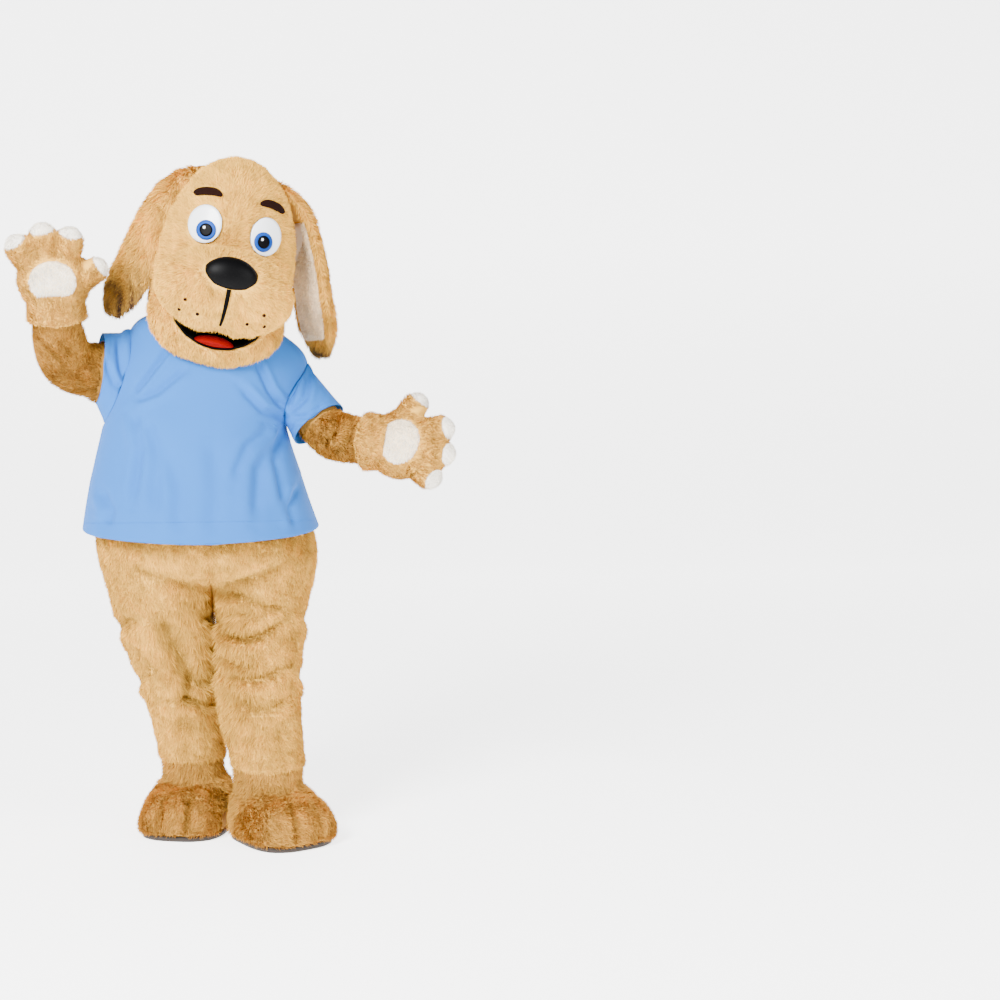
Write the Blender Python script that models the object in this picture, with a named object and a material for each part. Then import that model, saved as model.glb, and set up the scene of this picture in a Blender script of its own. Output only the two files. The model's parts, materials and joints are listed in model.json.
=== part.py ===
"""Plush dog mascot costume, worn pose, hollow: head, tee shirt, fur body suit, mitts and shoes.

Metres. The floor is z = 0 while modelling, the dog faces -Y and its own right is -X.
Everything hangs under one empty that puts the origin between the wearer's shoulders.
"""

import math
from collections import namedtuple

import bmesh
import bpy
import numpy as np

HOLD_HEIGHT = 1.42  # shoulders of the wearer above the floor
SEAM_HALF_GAP = 0.0005  # each piece stands this far back from its seam
SET_IN_GAP = 0.0024  # and the lowered sleeve this far, where its seam turns back on itself
FUR_WALL = 0.009  # backing cloth and the pile that stands on it
HEAD_WALL = 0.016  # foam shell with its fur
TEE_WALL = 0.0025

Section = namedtuple("Section", "z cx cy half_width front back")
Crease = namedtuple("Crease", "start end width depth")

# ---------------------------------------------------------------- tables

# trunk of the fur suit, neck to crotch
TRUNK = [
    Section(1.492, -0.004, 0.012, 0.0925, 0.0745, 0.0625),
    Section(1.474, -0.006, 0.010, 0.1265, 0.0905, 0.0685),
    Section(1.452, -0.010, 0.010, 0.1805, 0.1085, 0.0865),
    Section(1.424, -0.014, 0.010, 0.2260, 0.1222, 0.1262),
    Section(1.380, -0.022, 0.006, 0.2380, 0.1300, 0.1360),
    Section(1.300, -0.048, 0.004, 0.234, 0.154, 0.148),
    Section(1.180, -0.086, 0.000, 0.234, 0.192, 0.164),
    Section(1.050, -0.088, -0.004, 0.262, 0.228, 0.178),
    Section(0.920, -0.074, -0.006, 0.294, 0.250, 0.188),
    Section(0.830, -0.062, -0.006, 0.308, 0.254, 0.196),
    Section(0.740, -0.054, -0.004, 0.297, 0.225, 0.192),
    Section(0.660, -0.048, 0.000, 0.275, 0.180, 0.165),
]
# each leg below the crotch, its own centre and half sizes
LEG_RIGHT = [
    Section(0.760, -0.203, 0.004, 0.148, 0.215, 0.190),
    Section(0.660, -0.192, 0.012, 0.140, 0.162, 0.150),
    Section(0.540, -0.172, 0.026, 0.124, 0.132, 0.126),
    Section(0.400, -0.146, 0.040, 0.105, 0.116, 0.112),
    Section(0.290, -0.123, 0.048, 0.096, 0.104, 0.104),
    Section(0.205, -0.112, 0.052, 0.093, 0.100, 0.100),
]
LEG_LEFT = [
    Section(0.760, 0.098, -0.006, 0.146, 0.215, 0.190),
    Section(0.660, 0.088, -0.022, 0.132, 0.162, 0.150),
    Section(0.540, 0.084, -0.046, 0.121, 0.136, 0.126),
    Section(0.400, 0.084, -0.072, 0.111, 0.120, 0.112),
    Section(0.290, 0.093, -0.088, 0.106, 0.110, 0.106),
    Section(0.200, 0.103, -0.098, 0.103, 0.108, 0.104),
]
CROTCH_Z = 0.665
RISE_TOP_Z = 0.800
SUIT_ROWS = [
    1.478, 1.460, 1.440, 1.420, 1.395, 1.350, 1.300, 1.245, 1.185, 1.10, 1.00, 0.92, 0.87, 0.83,
    0.79, 0.755, 0.72, 0.69, 0.665, 0.635, 0.605, 0.575, 0.545, 0.515, 0.48, 0.44, 0.40,
    0.35, 0.30, 0.25, 0.205,
]
SUIT_COLUMNS = 8
SUIT_ARMHOLE = (1.185, 1.395, 0.36)  # lowest and highest z, share of the quarter cut away

# tee shirt, shoulder to hem
TEE = [
    Section(1.492, -0.004, 0.012, 0.096, 0.078, 0.066),
    Section(1.474, -0.006, 0.010, 0.130, 0.094, 0.072),
    Section(1.452, -0.010, 0.010, 0.184, 0.112, 0.090),
    Section(1.424, -0.014, 0.010, 0.230, 0.126, 0.130),
    Section(1.380, -0.022, 0.006, 0.252, 0.144, 0.148),
    Section(1.300, -0.050, 0.002, 0.260, 0.172, 0.166),
    Section(1.180, -0.089, -0.004, 0.257, 0.212, 0.186),
    Section(1.050, -0.089, -0.008, 0.290, 0.248, 0.204),
    Section(0.950, -0.084, -0.010, 0.316, 0.282, 0.220),
    Section(0.880, -0.077, -0.010, 0.334, 0.300, 0.232),
]
TEE_ROWS = [
    1.492, 1.478, 1.460, 1.440, 1.420, 1.395, 1.365, 1.325, 1.28, 1.235, 1.190, 1.165, 1.12,
    1.07, 1.02, 0.97, 0.925, 0.88,
]
TEE_COLUMNS = 8
TEE_ARMHOLE = (1.165, 1.395, 0.34)
HEM_DROP = 0.020  # the hem hangs lower at the front
TEE_RISE = 0.0022  # the tee lies on the suit's shoulders
SHOULDER_TILT = 0.20  # the raised arm lifts its shoulder
TILT_FROM, TILT_OVER = 1.12, 0.30

Station = namedtuple("Station", "x y z across along")  # centre and two radii of a ring

SLEEVE_RIGHT = [
    Station(-0.250, 0.000, 1.322, 0.112, 0.116),
    Station(-0.305, -0.008, 1.328, 0.104, 0.108),
    Station(-0.356, -0.018, 1.334, 0.099, 0.103),
]
SLEEVE_LEFT = [
    Station(0.185, -0.004, 1.254, 0.108, 0.112),
    Station(0.226, -0.028, 1.212, 0.094, 0.096),
    Station(0.258, -0.052, 1.170, 0.088, 0.089),
]
ARM_RIGHT = [
    Station(-0.240, 0.000, 1.308, 0.078, 0.080),
    Station(-0.320, -0.012, 1.326, 0.076, 0.078),
    Station(-0.388, -0.034, 1.330, 0.076, 0.078),
    Station(-0.436, -0.070, 1.350, 0.076, 0.079),
    Station(-0.456, -0.104, 1.404, 0.074, 0.077),
    Station(-0.460, -0.124, 1.446, 0.068, 0.069),
    Station(-0.460, -0.139, 1.482, 0.061, 0.062),
]
ARM_LEFT = [
    Station(0.184, 0.000, 1.258, 0.070, 0.070),
    Station(0.232, -0.024, 1.222, 0.068, 0.068),
    Station(0.261, -0.054, 1.178, 0.067, 0.068),
    Station(0.290, -0.096, 1.148, 0.069, 0.071),
    Station(0.332, -0.150, 1.137, 0.069, 0.069),
    Station(0.382, -0.187, 1.131, 0.0636, 0.0636),
]
SLEEVE_RINGS, ARM_RINGS = 6, 14
SLEEVE_BOW = 0.30  # how far a sleeve's top leaves the straight line to its cuff
ARM_CLEAR = 0.020  # the fur sleeve starts this far out from the body's armhole

SUIT_CREASES = [
    Crease((-0.345, -0.10, 0.640), (-0.120, -0.15, 0.560), 0.030, -0.010),
    Crease((-0.300, -0.12, 0.590), (-0.060, -0.10, 0.440), 0.026, -0.010),
    Crease((-0.010, -0.20, 0.700), (-0.250, -0.19, 0.775), 0.026, -0.009),
    Crease((-0.070, -0.20, 0.700), (0.150, -0.19, 0.760), 0.026, -0.009),
    Crease((-0.050, -0.16, 0.600), (0.215, -0.12, 0.655), 0.022, -0.010),
    Crease((-0.050, -0.18, 0.520), (0.205, -0.16, 0.585), 0.022, -0.010),
    Crease((-0.030, -0.18, 0.455), (0.200, -0.16, 0.500), 0.020, -0.008),
    Crease((-0.260, -0.06, 0.500), (-0.030, -0.06, 0.470), 0.022, -0.008),
    Crease((-0.220, -0.05, 0.350), (-0.020, -0.05, 0.300), 0.022, -0.006),
    Crease((-0.010, -0.19, 0.290), (0.200, -0.18, 0.330), 0.022, -0.006),
    Crease((-0.330, 0.15, 0.620), (-0.070, 0.15, 0.560), 0.026, -0.010),
    Crease((-0.290, 0.15, 0.520), (-0.040, 0.15, 0.470), 0.024, -0.009),
    Crease((0.215, 0.13, 0.640), (-0.010, 0.13, 0.570), 0.026, -0.010),
    Crease((0.200, 0.10, 0.520), (-0.030, 0.10, 0.460), 0.024, -0.009),
]
TEE_CREASES = [
    Crease((-0.270, -0.12, 1.300), (-0.120, -0.20, 1.220), 0.022, -0.008),
    Crease((-0.280, -0.10, 1.250), (-0.160, -0.20, 1.130), 0.022, -0.008),
    Crease((-0.255, -0.10, 1.385), (-0.150, -0.16, 1.320), 0.020, -0.007),
    Crease((0.175, -0.12, 1.230), (0.060, -0.20, 1.170), 0.022, -0.008),
    Crease((0.180, -0.10, 1.180), (0.090, -0.22, 1.060), 0.022, -0.008),
    Crease((0.190, -0.10, 1.340), (0.100, -0.16, 1.280), 0.020, -0.007),
    Crease((-0.060, -0.25, 1.160), (-0.090, -0.29, 0.900), 0.040, -0.006),
    Crease((0.110, -0.22, 1.080), (0.140, -0.25, 0.900), 0.036, -0.007),
    Crease((-0.240, -0.20, 1.080), (-0.290, -0.22, 0.900), 0.036, -0.007),
    Crease((-0.180, 0.17, 1.260), (-0.230, 0.17, 1.000), 0.034, -0.006),
    Crease((0.090, 0.17, 1.220), (0.120, 0.18, 0.960), 0.034, -0.006),
]


# ---------------------------------------------------------------- shared shape tools


def smooth(t):
    """Soft step of t between 0 and 1."""
    t = np.clip(t, 0.0, 1.0)
    return t * t * (3.0 - 2.0 * t)


def spline(xs, ys, z):
    """Every column of ys at z, by a cubic through the rows."""
    xs, ys = np.asarray(xs, float), np.asarray(ys, float)
    slopes = np.gradient(ys, xs, axis=0)
    z = float(np.clip(z, xs[0], xs[-1]))
    i = int(np.clip(np.searchsorted(xs, z) - 1, 0, len(xs) - 2))
    h = xs[i + 1] - xs[i]
    t = (z - xs[i]) / h
    a, b = 2 * t**3 - 3 * t**2 + 1, t**3 - 2 * t**2 + t
    c, d = -2 * t**3 + 3 * t**2, t**3 - t**2
    return a * ys[i] + b * h * slopes[i] + c * ys[i + 1] + d * h * slopes[i + 1]


def section_at(table, z):
    """The trunk or leg section of a table at height z."""
    rows = sorted(table)
    return Section(*spline([row.z for row in rows], rows, z))


def station_at(table, t):
    """The ring of a path at t, counted from its first row."""
    return Station(*spline(range(len(table)), table, t))


def grid_quads(rows, columns, closed=False):
    """Index quads of a grid whose rows run down and columns run left to right seen from outside."""
    quads = []
    last = columns if closed else columns - 1
    for r in range(rows - 1):
        for c in range(last):
            n = (c + 1) % columns
            quads.append((r * columns + c, (r + 1) * columns + c, (r + 1) * columns + n, r * columns + n))
    return quads


class Patch:
    """One cut piece as a surface: points, faces seen from outside, and shared normals."""

    def __init__(self, name, points, faces):
        self.name = name
        self.points, self.faces = merged(np.asarray(points, float).reshape(-1, 3), faces)
        self.normals = np.zeros_like(self.points)

    def face_normal(self, face):
        """Area normal of one face."""
        loop = self.points[list(face)]
        return np.cross(loop, np.roll(loop, -1, axis=0)).sum(axis=0) / 2.0


def merged(points, faces):
    """Coincident points made one, and the faces that collapse cleaned or dropped."""
    seen, index, kept = {}, [], []
    for point in points:
        key = tuple(np.round(point, 7))
        if key not in seen:
            seen[key] = len(kept)
            kept.append(point)
        index.append(seen[key])
    cleaned = []
    for face in faces:
        loop = []
        for i in (index[i] for i in face):
            if i not in loop:
                loop.append(i)
        if len(loop) > 2:
            cleaned.append(tuple(loop))
    return np.array(kept), cleaned


def share_normals(patches):
    """Vertex normals summed over every patch that holds the same point, so seams agree."""
    total = {}
    for patch in patches:
        for face in patch.faces:
            normal = patch.face_normal(face)
            for i in face:
                key = tuple(np.round(patch.points[i], 6))
                total[key] = total.get(key, np.zeros(3)) + normal
    for patch in patches:
        for i, point in enumerate(patch.points):
            normal = total.get(tuple(np.round(point, 6)), np.array([0.0, 0.0, 1.0]))
            patch.normals[i] = normal / max(np.linalg.norm(normal), 1e-12)


def crease_depth(point, creases):
    """Sum of the soft troughs and ridges at a point."""
    total = 0.0
    for crease in creases:
        a, b = np.array(crease.start), np.array(crease.end)
        along = b - a
        t = float(np.dot(point - a, along) / np.dot(along, along))
        near = a + along * min(max(t, 0.0), 1.0)
        distance = np.linalg.norm(point - near)
        fade = 1.0 - 0.75 * abs(2.0 * min(max(t, 0.0), 1.0) - 1.0) ** 2
        total += crease.depth * fade * math.exp(-((distance / crease.width) ** 2))
    return total


def fold(patches, creases):
    """Pushes every patch's points along their shared normals by the creases."""
    share_normals(patches)
    for patch in patches:
        for i, point in enumerate(patch.points):
            patch.points[i] = point + patch.normals[i] * crease_depth(point, creases)
    share_normals(patches)


def boundary_of(faces):
    """Directed edges with no partner."""
    edges = {}
    for face in faces:
        for a, b in zip(face, face[1:] + face[:1]):
            edges[(a, b)] = True
    return [(a, b) for a, b in edges if (b, a) not in edges]


def solid_from(name, points, faces):
    """A mesh object from points and faces, under the frame's empty."""
    mesh = bpy.data.meshes.new(name)
    mesh.from_pydata([tuple(p) for p in points], [], [tuple(f) for f in faces])
    mesh.validate()
    obj = bpy.data.objects.new(name, mesh)
    bpy.context.scene.collection.objects.link(obj)
    obj.parent = bpy.data.objects["wearer_frame"]
    return obj


def wall(patch, thickness, inward=None, gap=SEAM_HALF_GAP):
    """The patch's wall: outer face, inner face one thickness in, and rims all round."""
    points, faces = patch.points.copy(), patch.faces
    rim = boundary_of(faces)
    on_rim = {i for edge in rim for i in edge}
    pull = {i: np.zeros(3) for i in on_rim}
    for face in faces:
        centre = points[list(face)].mean(axis=0)
        for i in face:
            if i in on_rim:
                pull[i] += centre - points[i]
    outer = points.copy()
    for i, vector in pull.items():
        flat = vector - patch.normals[i] * np.dot(vector, patch.normals[i])
        outer[i] += flat / max(np.linalg.norm(flat), 1e-9) * gap
    depth = np.full(len(points), thickness) if inward is None else np.asarray(inward)
    inner = outer - patch.normals * depth[:, None]
    count = len(points)
    everything = list(faces)
    everything += [tuple(i + count for i in reversed(face)) for face in faces]
    everything += [(b, a, a + count, b + count) for a, b in rim]
    return solid_from(patch.name, np.concatenate([outer, inner]), everything)


def outward_quads(points, centres, closed=False):
    """Quads of a grid of rows, turned so that their normals leave the row centres."""
    rows, columns = points.shape[:2]
    flat = points.reshape(-1, 3)
    quads = grid_quads(rows, columns, closed)
    score = 0.0
    for quad in quads:
        loop = flat[list(quad)]
        normal = np.cross(loop[2] - loop[0], loop[3] - loop[1])
        row = quad[0] // columns
        score += float(np.dot(normal, loop.mean(axis=0) - centres[row]))
    return quads if score > 0 else [tuple(reversed(quad)) for quad in quads]


# ---------------------------------------------------------------- trunk, legs, sleeves


def armhole_cut(z, armhole):
    """Share of the quarter section that cloth covers at height z."""
    low, high, share = armhole
    t = (z - low) / (high - low)
    return 1.0 - share * math.sqrt(max(math.sin(math.pi * t), 0.0)) if 0.0 < t < 1.0 else 1.0


def tilted(point, section):
    """The raised shoulder lifts its side of the upper body."""
    x, y, z = point
    ramp = float(smooth((section.z - TILT_FROM) / TILT_OVER))
    return np.array([x, y, z - SHOULDER_TILT * ramp * (x - section.cx)])


def trunk_point(table, armhole, side, facing, u, z):
    """A trunk point: side -1 right or 1 left, facing -1 front or 1 back, u from centre to side."""
    s = section_at(table, z)
    angle = u * armhole_cut(z, armhole) * math.pi / 2
    depth = s.front if facing < 0 else s.back
    x = s.cx + side * s.half_width * math.sin(angle) ** 0.92
    y = s.cy + facing * depth * math.cos(angle) ** 0.92
    return tilted((x, y, z), s)


def leg_point(table, side, facing, u, z):
    """A leg point, u from the inside seam round to the side seam."""
    s = section_at(table, min(z, table[0].z))
    depth = s.front if facing < 0 else s.back
    x = s.cx - side * s.half_width * math.cos(math.pi * u)
    y = s.cy + facing * depth * math.sin(math.pi * u)
    middle = section_at(TRUNK, max(z, CROTCH_Z))
    joined = float(smooth((z - CROTCH_Z + 0.055) / 0.055)) * (1.0 - u) ** 1.2
    inner = s.cx - side * s.half_width
    x += joined * (middle.cx - inner)
    y += joined * (middle.cy - s.cy)
    return np.array([x, y, z])


def suit_point(side, facing, u, z):
    """A point of the body suit, legs running into the trunk over the rise."""
    weight = float(smooth((z - CROTCH_Z) / (RISE_TOP_Z - CROTCH_Z)))
    leg_table = LEG_RIGHT if side < 0 else LEG_LEFT
    if weight <= 0.0:
        return leg_point(leg_table, side, facing, u, z)
    trunk = trunk_point(TRUNK, SUIT_ARMHOLE, side, facing, u, z)
    if weight >= 1.0:
        return trunk
    return weight * trunk + (1.0 - weight) * leg_point(leg_table, side, facing, u, z)


def suit_patches():
    """Front and back of each side, neck to ankle."""
    patches = {}
    us = np.linspace(0.0, 1.0, SUIT_COLUMNS)
    for side, word in ((-1, "right"), (1, "left")):
        for facing, face in ((-1, "front"), (1, "back")):
            grid = np.array([[suit_point(side, facing, u, z) for u in us] for z in SUIT_ROWS])
            table = LEG_RIGHT if side < 0 else LEG_LEFT
            centres = []
            for z in SUIT_ROWS:
                s = section_at(TRUNK, z) if z > RISE_TOP_Z else section_at(table, min(z, 0.76))
                centres.append(np.array([s.cx, s.cy, z]))
            name = f"body_{face}_{word}"
            patches[name] = Patch(name, grid, outward_quads(grid, centres))
    return patches


def tee_point(facing, u, z):
    """A point of the tee's body, u from -1 at the right side to 1 at the left."""
    side = -1 if u < 0 else 1
    point = trunk_point(TEE, TEE_ARMHOLE, side, facing, abs(u), z)
    drop = HEM_DROP * float(smooth((1.05 - z) / 0.17)) * (1.0 - abs(u)) * (1 if facing < 0 else 0.4)
    rise = TEE_RISE * float(smooth((z - 1.36) / 0.05))
    return point + np.array([0.0, 0.0, rise - drop])


def tee_patches():
    """The tee's front and its two back panels."""
    patches = {}
    half = np.linspace(0.0, 1.0, TEE_COLUMNS)
    spans = {
        "tee_front": (-1, np.concatenate([-half[:0:-1], half])),
        "tee_back_right": (1, -half),
        "tee_back_left": (1, half),
    }
    for name, (facing, us) in spans.items():
        grid = np.array([[tee_point(facing, u, z) for u in us] for z in TEE_ROWS])
        centres = [np.array([section_at(TEE, z).cx, section_at(TEE, z).cy, z]) for z in TEE_ROWS]
        patches[name] = Patch(name, grid, outward_quads(grid, centres))
    return patches


def armhole_loop(point_at, armhole, rows):
    """The armhole's edge: from the underarm up the front and down the back."""
    low, high, _ = armhole
    zs = sorted(z for z in rows if low <= z <= high)
    up = [point_at(-1, z) for z in zs]
    down = [point_at(1, z) for z in reversed(zs)]
    return np.array(up + down[1:-1])


def ring_frames(table, count):
    """Centres, radii and carried axes of a path's rings; the first axis points to the underarm."""
    ts = np.linspace(0.0, len(table) - 1.0, count)
    stations = [station_at(table, t) for t in ts]
    centres = np.array([[s.x, s.y, s.z] for s in stations])
    heading = np.gradient(centres, axis=0)
    heading /= np.linalg.norm(heading, axis=1)[:, None]
    down, frames = np.array([0.0, 0.0, -1.0]), []
    for i, d in enumerate(heading):
        down = down - d * np.dot(down, d)
        down /= np.linalg.norm(down)
        ahead = np.cross(d, down)
        if i == 0:
            turn = -1.0 if ahead[1] > 0 else 1.0
        frames.append((centres[i], stations[i], down, ahead * turn))
    return frames


def ring(frame, angles):
    """Points of one ring at the given angles from the underarm."""
    centre, station, down, ahead = frame
    return np.array(
        [centre + down * station.along * math.cos(a) + ahead * station.across * math.sin(a) for a in angles]
    )


def sleeve_patch(name, loop, table, rings, settle, clear=0.0, shrink=1.0):
    """A tube ruled from the armhole's own points to the ring numbered settle, then along the path."""
    frames = ring_frames(table, rings)
    middle = loop.mean(axis=0)
    loop = middle + (loop - middle) * shrink
    loop[:, 0] += math.copysign(clear, frames[-1][0][0])
    angles = np.linspace(0.0, 2.0 * math.pi, len(loop), endpoint=False)
    settled = ring(frames[settle], angles)
    rows = []
    for i, frame in enumerate(frames):
        t = min(i / settle, 1.0)
        ruled = (1.0 - t) * loop + t * settled
        upper = (1.0 - np.cos(angles)[:, None]) / 2.0
        bow = SLEEVE_BOW * math.sin(math.pi * t) * upper**1.5 if i < settle else 1.0
        rows.append(ruled + bow * (ring(frame, angles) - ruled))
    grid = np.array(rows)
    centres = [row.mean(axis=0) for row in grid]
    return Patch(name, grid, outward_quads(grid, centres, closed=True))


def build_suit():
    """The four body panels and the two fur sleeves."""
    patches = suit_patches()
    for side, word, table in ((-1, "right", ARM_RIGHT), (1, "left", ARM_LEFT)):
        loop = armhole_loop(
            lambda facing, z, side=side: suit_point(side, facing, 1.0, z), SUIT_ARMHOLE, SUIT_ROWS
        )
        name = f"arm_{word}"
        patches[name] = sleeve_patch(name, loop, table, ARM_RINGS, 4, ARM_CLEAR, 0.80)
    fold(patches.values(), SUIT_CREASES)
    for patch in patches.values():
        wall(patch, FUR_WALL)


def build_tee():
    """The tee's body and its set-in sleeves."""
    patches = tee_patches()
    for side, word, table in ((-1, "right", SLEEVE_RIGHT), (1, "left", SLEEVE_LEFT)):
        loop = armhole_loop(
            lambda facing, z, side=side: tee_point(facing, float(side), z), TEE_ARMHOLE, TEE_ROWS
        )
        patches[f"tee_sleeve_{word}"] = sleeve_patch(
            f"tee_sleeve_{word}", loop, table, SLEEVE_RINGS, SLEEVE_RINGS - 1
        )
    fold(patches.values(), TEE_CREASES)
    for name, patch in patches.items():
        wall(patch, TEE_WALL, gap=SET_IN_GAP if name == "tee_sleeve_left" else SEAM_HALF_GAP)


# ---------------------------------------------------------------- solids and cuts


def evaluated_copy(obj):
    """The mesh an object has once its modifiers are worked out."""
    bpy.context.view_layer.update()
    graph = bpy.context.evaluated_depsgraph_get()
    return bpy.data.meshes.new_from_object(obj.evaluated_get(graph))


def combine(obj, tool, operation, keep_tool=False):
    """Cuts, joins or intersects obj with tool and bakes the result."""
    modifier = obj.modifiers.new(operation.lower(), "BOOLEAN")
    modifier.operation = operation
    modifier.solver = "EXACT"
    modifier.object = tool
    result = evaluated_copy(obj)
    obj.modifiers.clear()
    obj.data = result
    if not keep_tool:
        bpy.data.objects.remove(tool)
    return obj


def ball(name, centre, radii, turns=20, rings=12, place=lambda p: p):
    """A closed ellipsoid, its points put through place."""
    bm = bmesh.new()
    bmesh.ops.create_uvsphere(bm, u_segments=turns, v_segments=rings, radius=1.0)
    points = [place(np.array(centre) + np.array(v.co) * np.array(radii)) for v in bm.verts]
    faces = [tuple(v.index for v in f.verts) for f in bm.faces]
    bm.free()
    return solid_from(name, points, faces)


def capsule(name, start, end, radius, turns=12, place=lambda p: p):
    """A round-ended bar from start to end."""
    a, b = np.array(start, float), np.array(end, float)
    axis = (b - a) / np.linalg.norm(b - a)
    side = np.cross(axis, (0.0, 1.0, 0.0))
    side /= np.linalg.norm(side)
    other = np.cross(axis, side)
    rows = [(a, -60), (a, 0), (b, 0), (b, 26), (b, 52), (b, 74)]
    points, faces = [], []
    for at, lift in rows:
        reach, rise = math.cos(math.radians(lift)), math.sin(math.radians(lift))
        for k in range(turns):
            angle = 2 * math.pi * k / turns
            across = side * math.cos(angle) + other * math.sin(angle)
            points.append(place(at + radius * (across * reach + axis * rise)))
    for r in range(len(rows) - 1):
        for k in range(turns):
            n = (k + 1) % turns
            faces.append((r * turns + k, r * turns + n, (r + 1) * turns + n, (r + 1) * turns + k))
    last = (len(rows) - 1) * turns
    faces.append(tuple(reversed(range(turns))))
    faces.append(tuple(range(last, last + turns)))
    obj = solid_from(name, points, faces)
    return facing_out(obj)


def facing_out(obj):
    """Turns an object's faces outwards."""
    bm = bmesh.new()
    bm.from_mesh(obj.data)
    bmesh.ops.recalc_face_normals(bm, faces=bm.faces)
    bm.to_mesh(obj.data)
    bm.free()
    return obj


# ---------------------------------------------------------------- head

HEAD_AT = np.array([-0.008, 0.0, 1.620])
HEAD_ROLL, HEAD_YAW = math.radians(11.5), math.radians(5.0)
CROWN = 0.302
SEATED = 0.0007  # clearance of a piece that sits on another
SKULL_BACK_CY = -0.030
HeadRow = namedtuple("HeadRow", "h half_width front back")
LOWER_HEAD = [
    HeadRow(-0.140, 0.182, 0.150, 0.150),
    HeadRow(-0.080, 0.195, 0.178, 0.180),
    HeadRow(0.000, 0.193, 0.193, 0.196),
    HeadRow(0.060, 0.190, 0.194, 0.194),
]
HEAD_ROWS = 8  # rows of the dome above the eyes
RIM_ROWS = [-0.035, -0.07, -0.105, -0.140]
FRONT_COLUMNS, BACK_COLUMNS = 13, 7
MUZZLE_CENTRE, MUZZLE_RADII = (0.0, -0.232, -0.078), (0.188, 0.122, 0.118)
JAW_CENTRE, JAW_RADII = (0.0, -0.116, -0.152), (0.188, 0.128, 0.136)
MOUTH_CENTRE, MOUTH_RADII = (0.0, -0.210, -0.112), (0.142, 0.126, 0.126)
NOSE_CENTRE, NOSE_RADII = (0.0, -0.332, -0.036), (0.074, 0.034, 0.050)
EYE_X, EYE_H, EYE_HALF = 0.082, 0.092, (0.044, 0.054)
BROW_X, BROW_H = 0.088, 0.186


def in_head(p):
    """A point of the head's own frame in the costume's frame."""
    x, y, h = p
    roll_c, roll_s = math.cos(HEAD_ROLL), math.sin(HEAD_ROLL)
    x, h = x * roll_c + h * roll_s, -x * roll_s + h * roll_c
    yaw_c, yaw_s = math.cos(HEAD_YAW), math.sin(HEAD_YAW)
    return HEAD_AT + np.array([x * yaw_c - y * yaw_s, x * yaw_s + y * yaw_c, h])


def skull_radii(h):
    """Half width, front reach and back reach of the skull at height h of the head's frame."""
    if h < 0.0:
        row = HeadRow(*spline([r.h for r in LOWER_HEAD], LOWER_HEAD, h))
        return row.half_width, row.front, row.back
    t = min(h / CROWN, 1.0)
    return (
        0.193 * math.sqrt(max(1.0 - t**2.0, 0.0)),
        0.193 * math.sqrt(max(1.0 - t**4.2, 0.0)),
        0.196 * math.sqrt(max(1.0 - t**2.2, 0.0)),
    )


def skull_point(angle, h, out=0.0):
    """The skull's surface: angle 0 at the face's middle, positive toward the dog's left."""
    half, front, back = skull_radii(h)
    reach = front if math.cos(angle) > 0 else back
    return np.array(
        [(half + out) * math.sin(angle), SKULL_BACK_CY - (reach + out) * math.cos(angle), h]
    )


def face_point(x, h, out=0.0):
    """The face's surface straight behind (x, h), moved out along its normal."""

    def surface(x, h):
        half, front, _ = skull_radii(h)
        return np.array([x, SKULL_BACK_CY - front * math.sqrt(max(1.0 - (x / half) ** 2, 0.0)), h])

    step = 0.002
    dx = surface(x + step, h) - surface(x - step, h)
    dh = surface(x, h + step) - surface(x, h - step)
    normal = np.cross(dx, dh)
    return surface(x, h) + normal / np.linalg.norm(normal) * out


def head_heights():
    """Row heights from the crown to the rim."""
    dome = [CROWN * math.sin(math.radians(a)) for a in np.linspace(90, 0, HEAD_ROWS + 1)]
    return dome + RIM_ROWS


def build_skull():
    """Face panel and the two back panels, meeting at the crown."""
    spans = {
        "head_front": np.radians(np.linspace(-92, 92, FRONT_COLUMNS)),
        "head_back_left": np.radians(np.linspace(92, 180, BACK_COLUMNS)),
        "head_back_right": np.radians(np.linspace(-92, -180, BACK_COLUMNS)),
    }
    patches = {}
    heights = head_heights()
    for name, angles in spans.items():
        grid = np.array([[in_head(skull_point(a, h)) for a in angles] for h in heights])
        centres = [in_head((0.0, SKULL_BACK_CY, h - 0.02)) for h in heights]
        patches[name] = Patch(name, grid, outward_quads(grid, centres))
    share_normals(patches.values())
    for patch in patches.values():
        wall(patch, HEAD_WALL)


def skull_solid(out):
    """A closed solid a little larger than the skull, to seat pieces on it."""
    front, back = np.linspace(-92, 92, FRONT_COLUMNS), np.linspace(92, 268, 2 * BACK_COLUMNS - 1)
    angles = np.radians(np.concatenate([front[:-1], back[:-1]]))
    heights = [h + (out if h > 0.2 else 0.0) for h in head_heights()] + [-0.175]
    grid = []
    for i, h in enumerate(heights):
        if i == 0:
            row = [in_head((0.0, SKULL_BACK_CY, CROWN + out)) for _ in angles]
        else:
            source = min(h, CROWN * 0.9999)
            row = [in_head(skull_point(a, source if h <= 0.2 else h - out, out) + np.array([0, 0, h - source if h <= 0.2 else out])) for a in angles]
        grid.append(row)
    grid = np.array(grid)
    patch = Patch("skull_tool", grid, grid_quads(len(heights), len(angles), closed=True))
    faces = list(patch.faces)
    rim = boundary_of(faces)
    follow = dict((b, a) for a, b in rim)
    start = rim[0][0]
    loop, at = [start], follow[start]
    while at != start:
        loop.append(at)
        at = follow[at]
    return facing_out(solid_from("skull_tool", patch.points, faces + [tuple(loop)]))


def ringed_solid(name, rows, out):
    """A closed solid from horizontal rings of equal counts, each grown by out."""
    grown = []
    for row in rows:
        row = np.array(row)
        away = row - row.mean(axis=0)
        away[:, 2] = 0.0
        grown.append(row + away / np.linalg.norm(away, axis=1)[:, None] * out)
    count = len(rows[0])
    faces = grid_quads(len(rows), count, closed=True)
    faces += [tuple(range(count)), tuple(range((len(rows) - 1) * count, len(rows) * count))]
    points, faces = merged(np.array(grown).reshape(-1, 3), faces)
    return facing_out(solid_from(name, points, faces))


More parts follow.
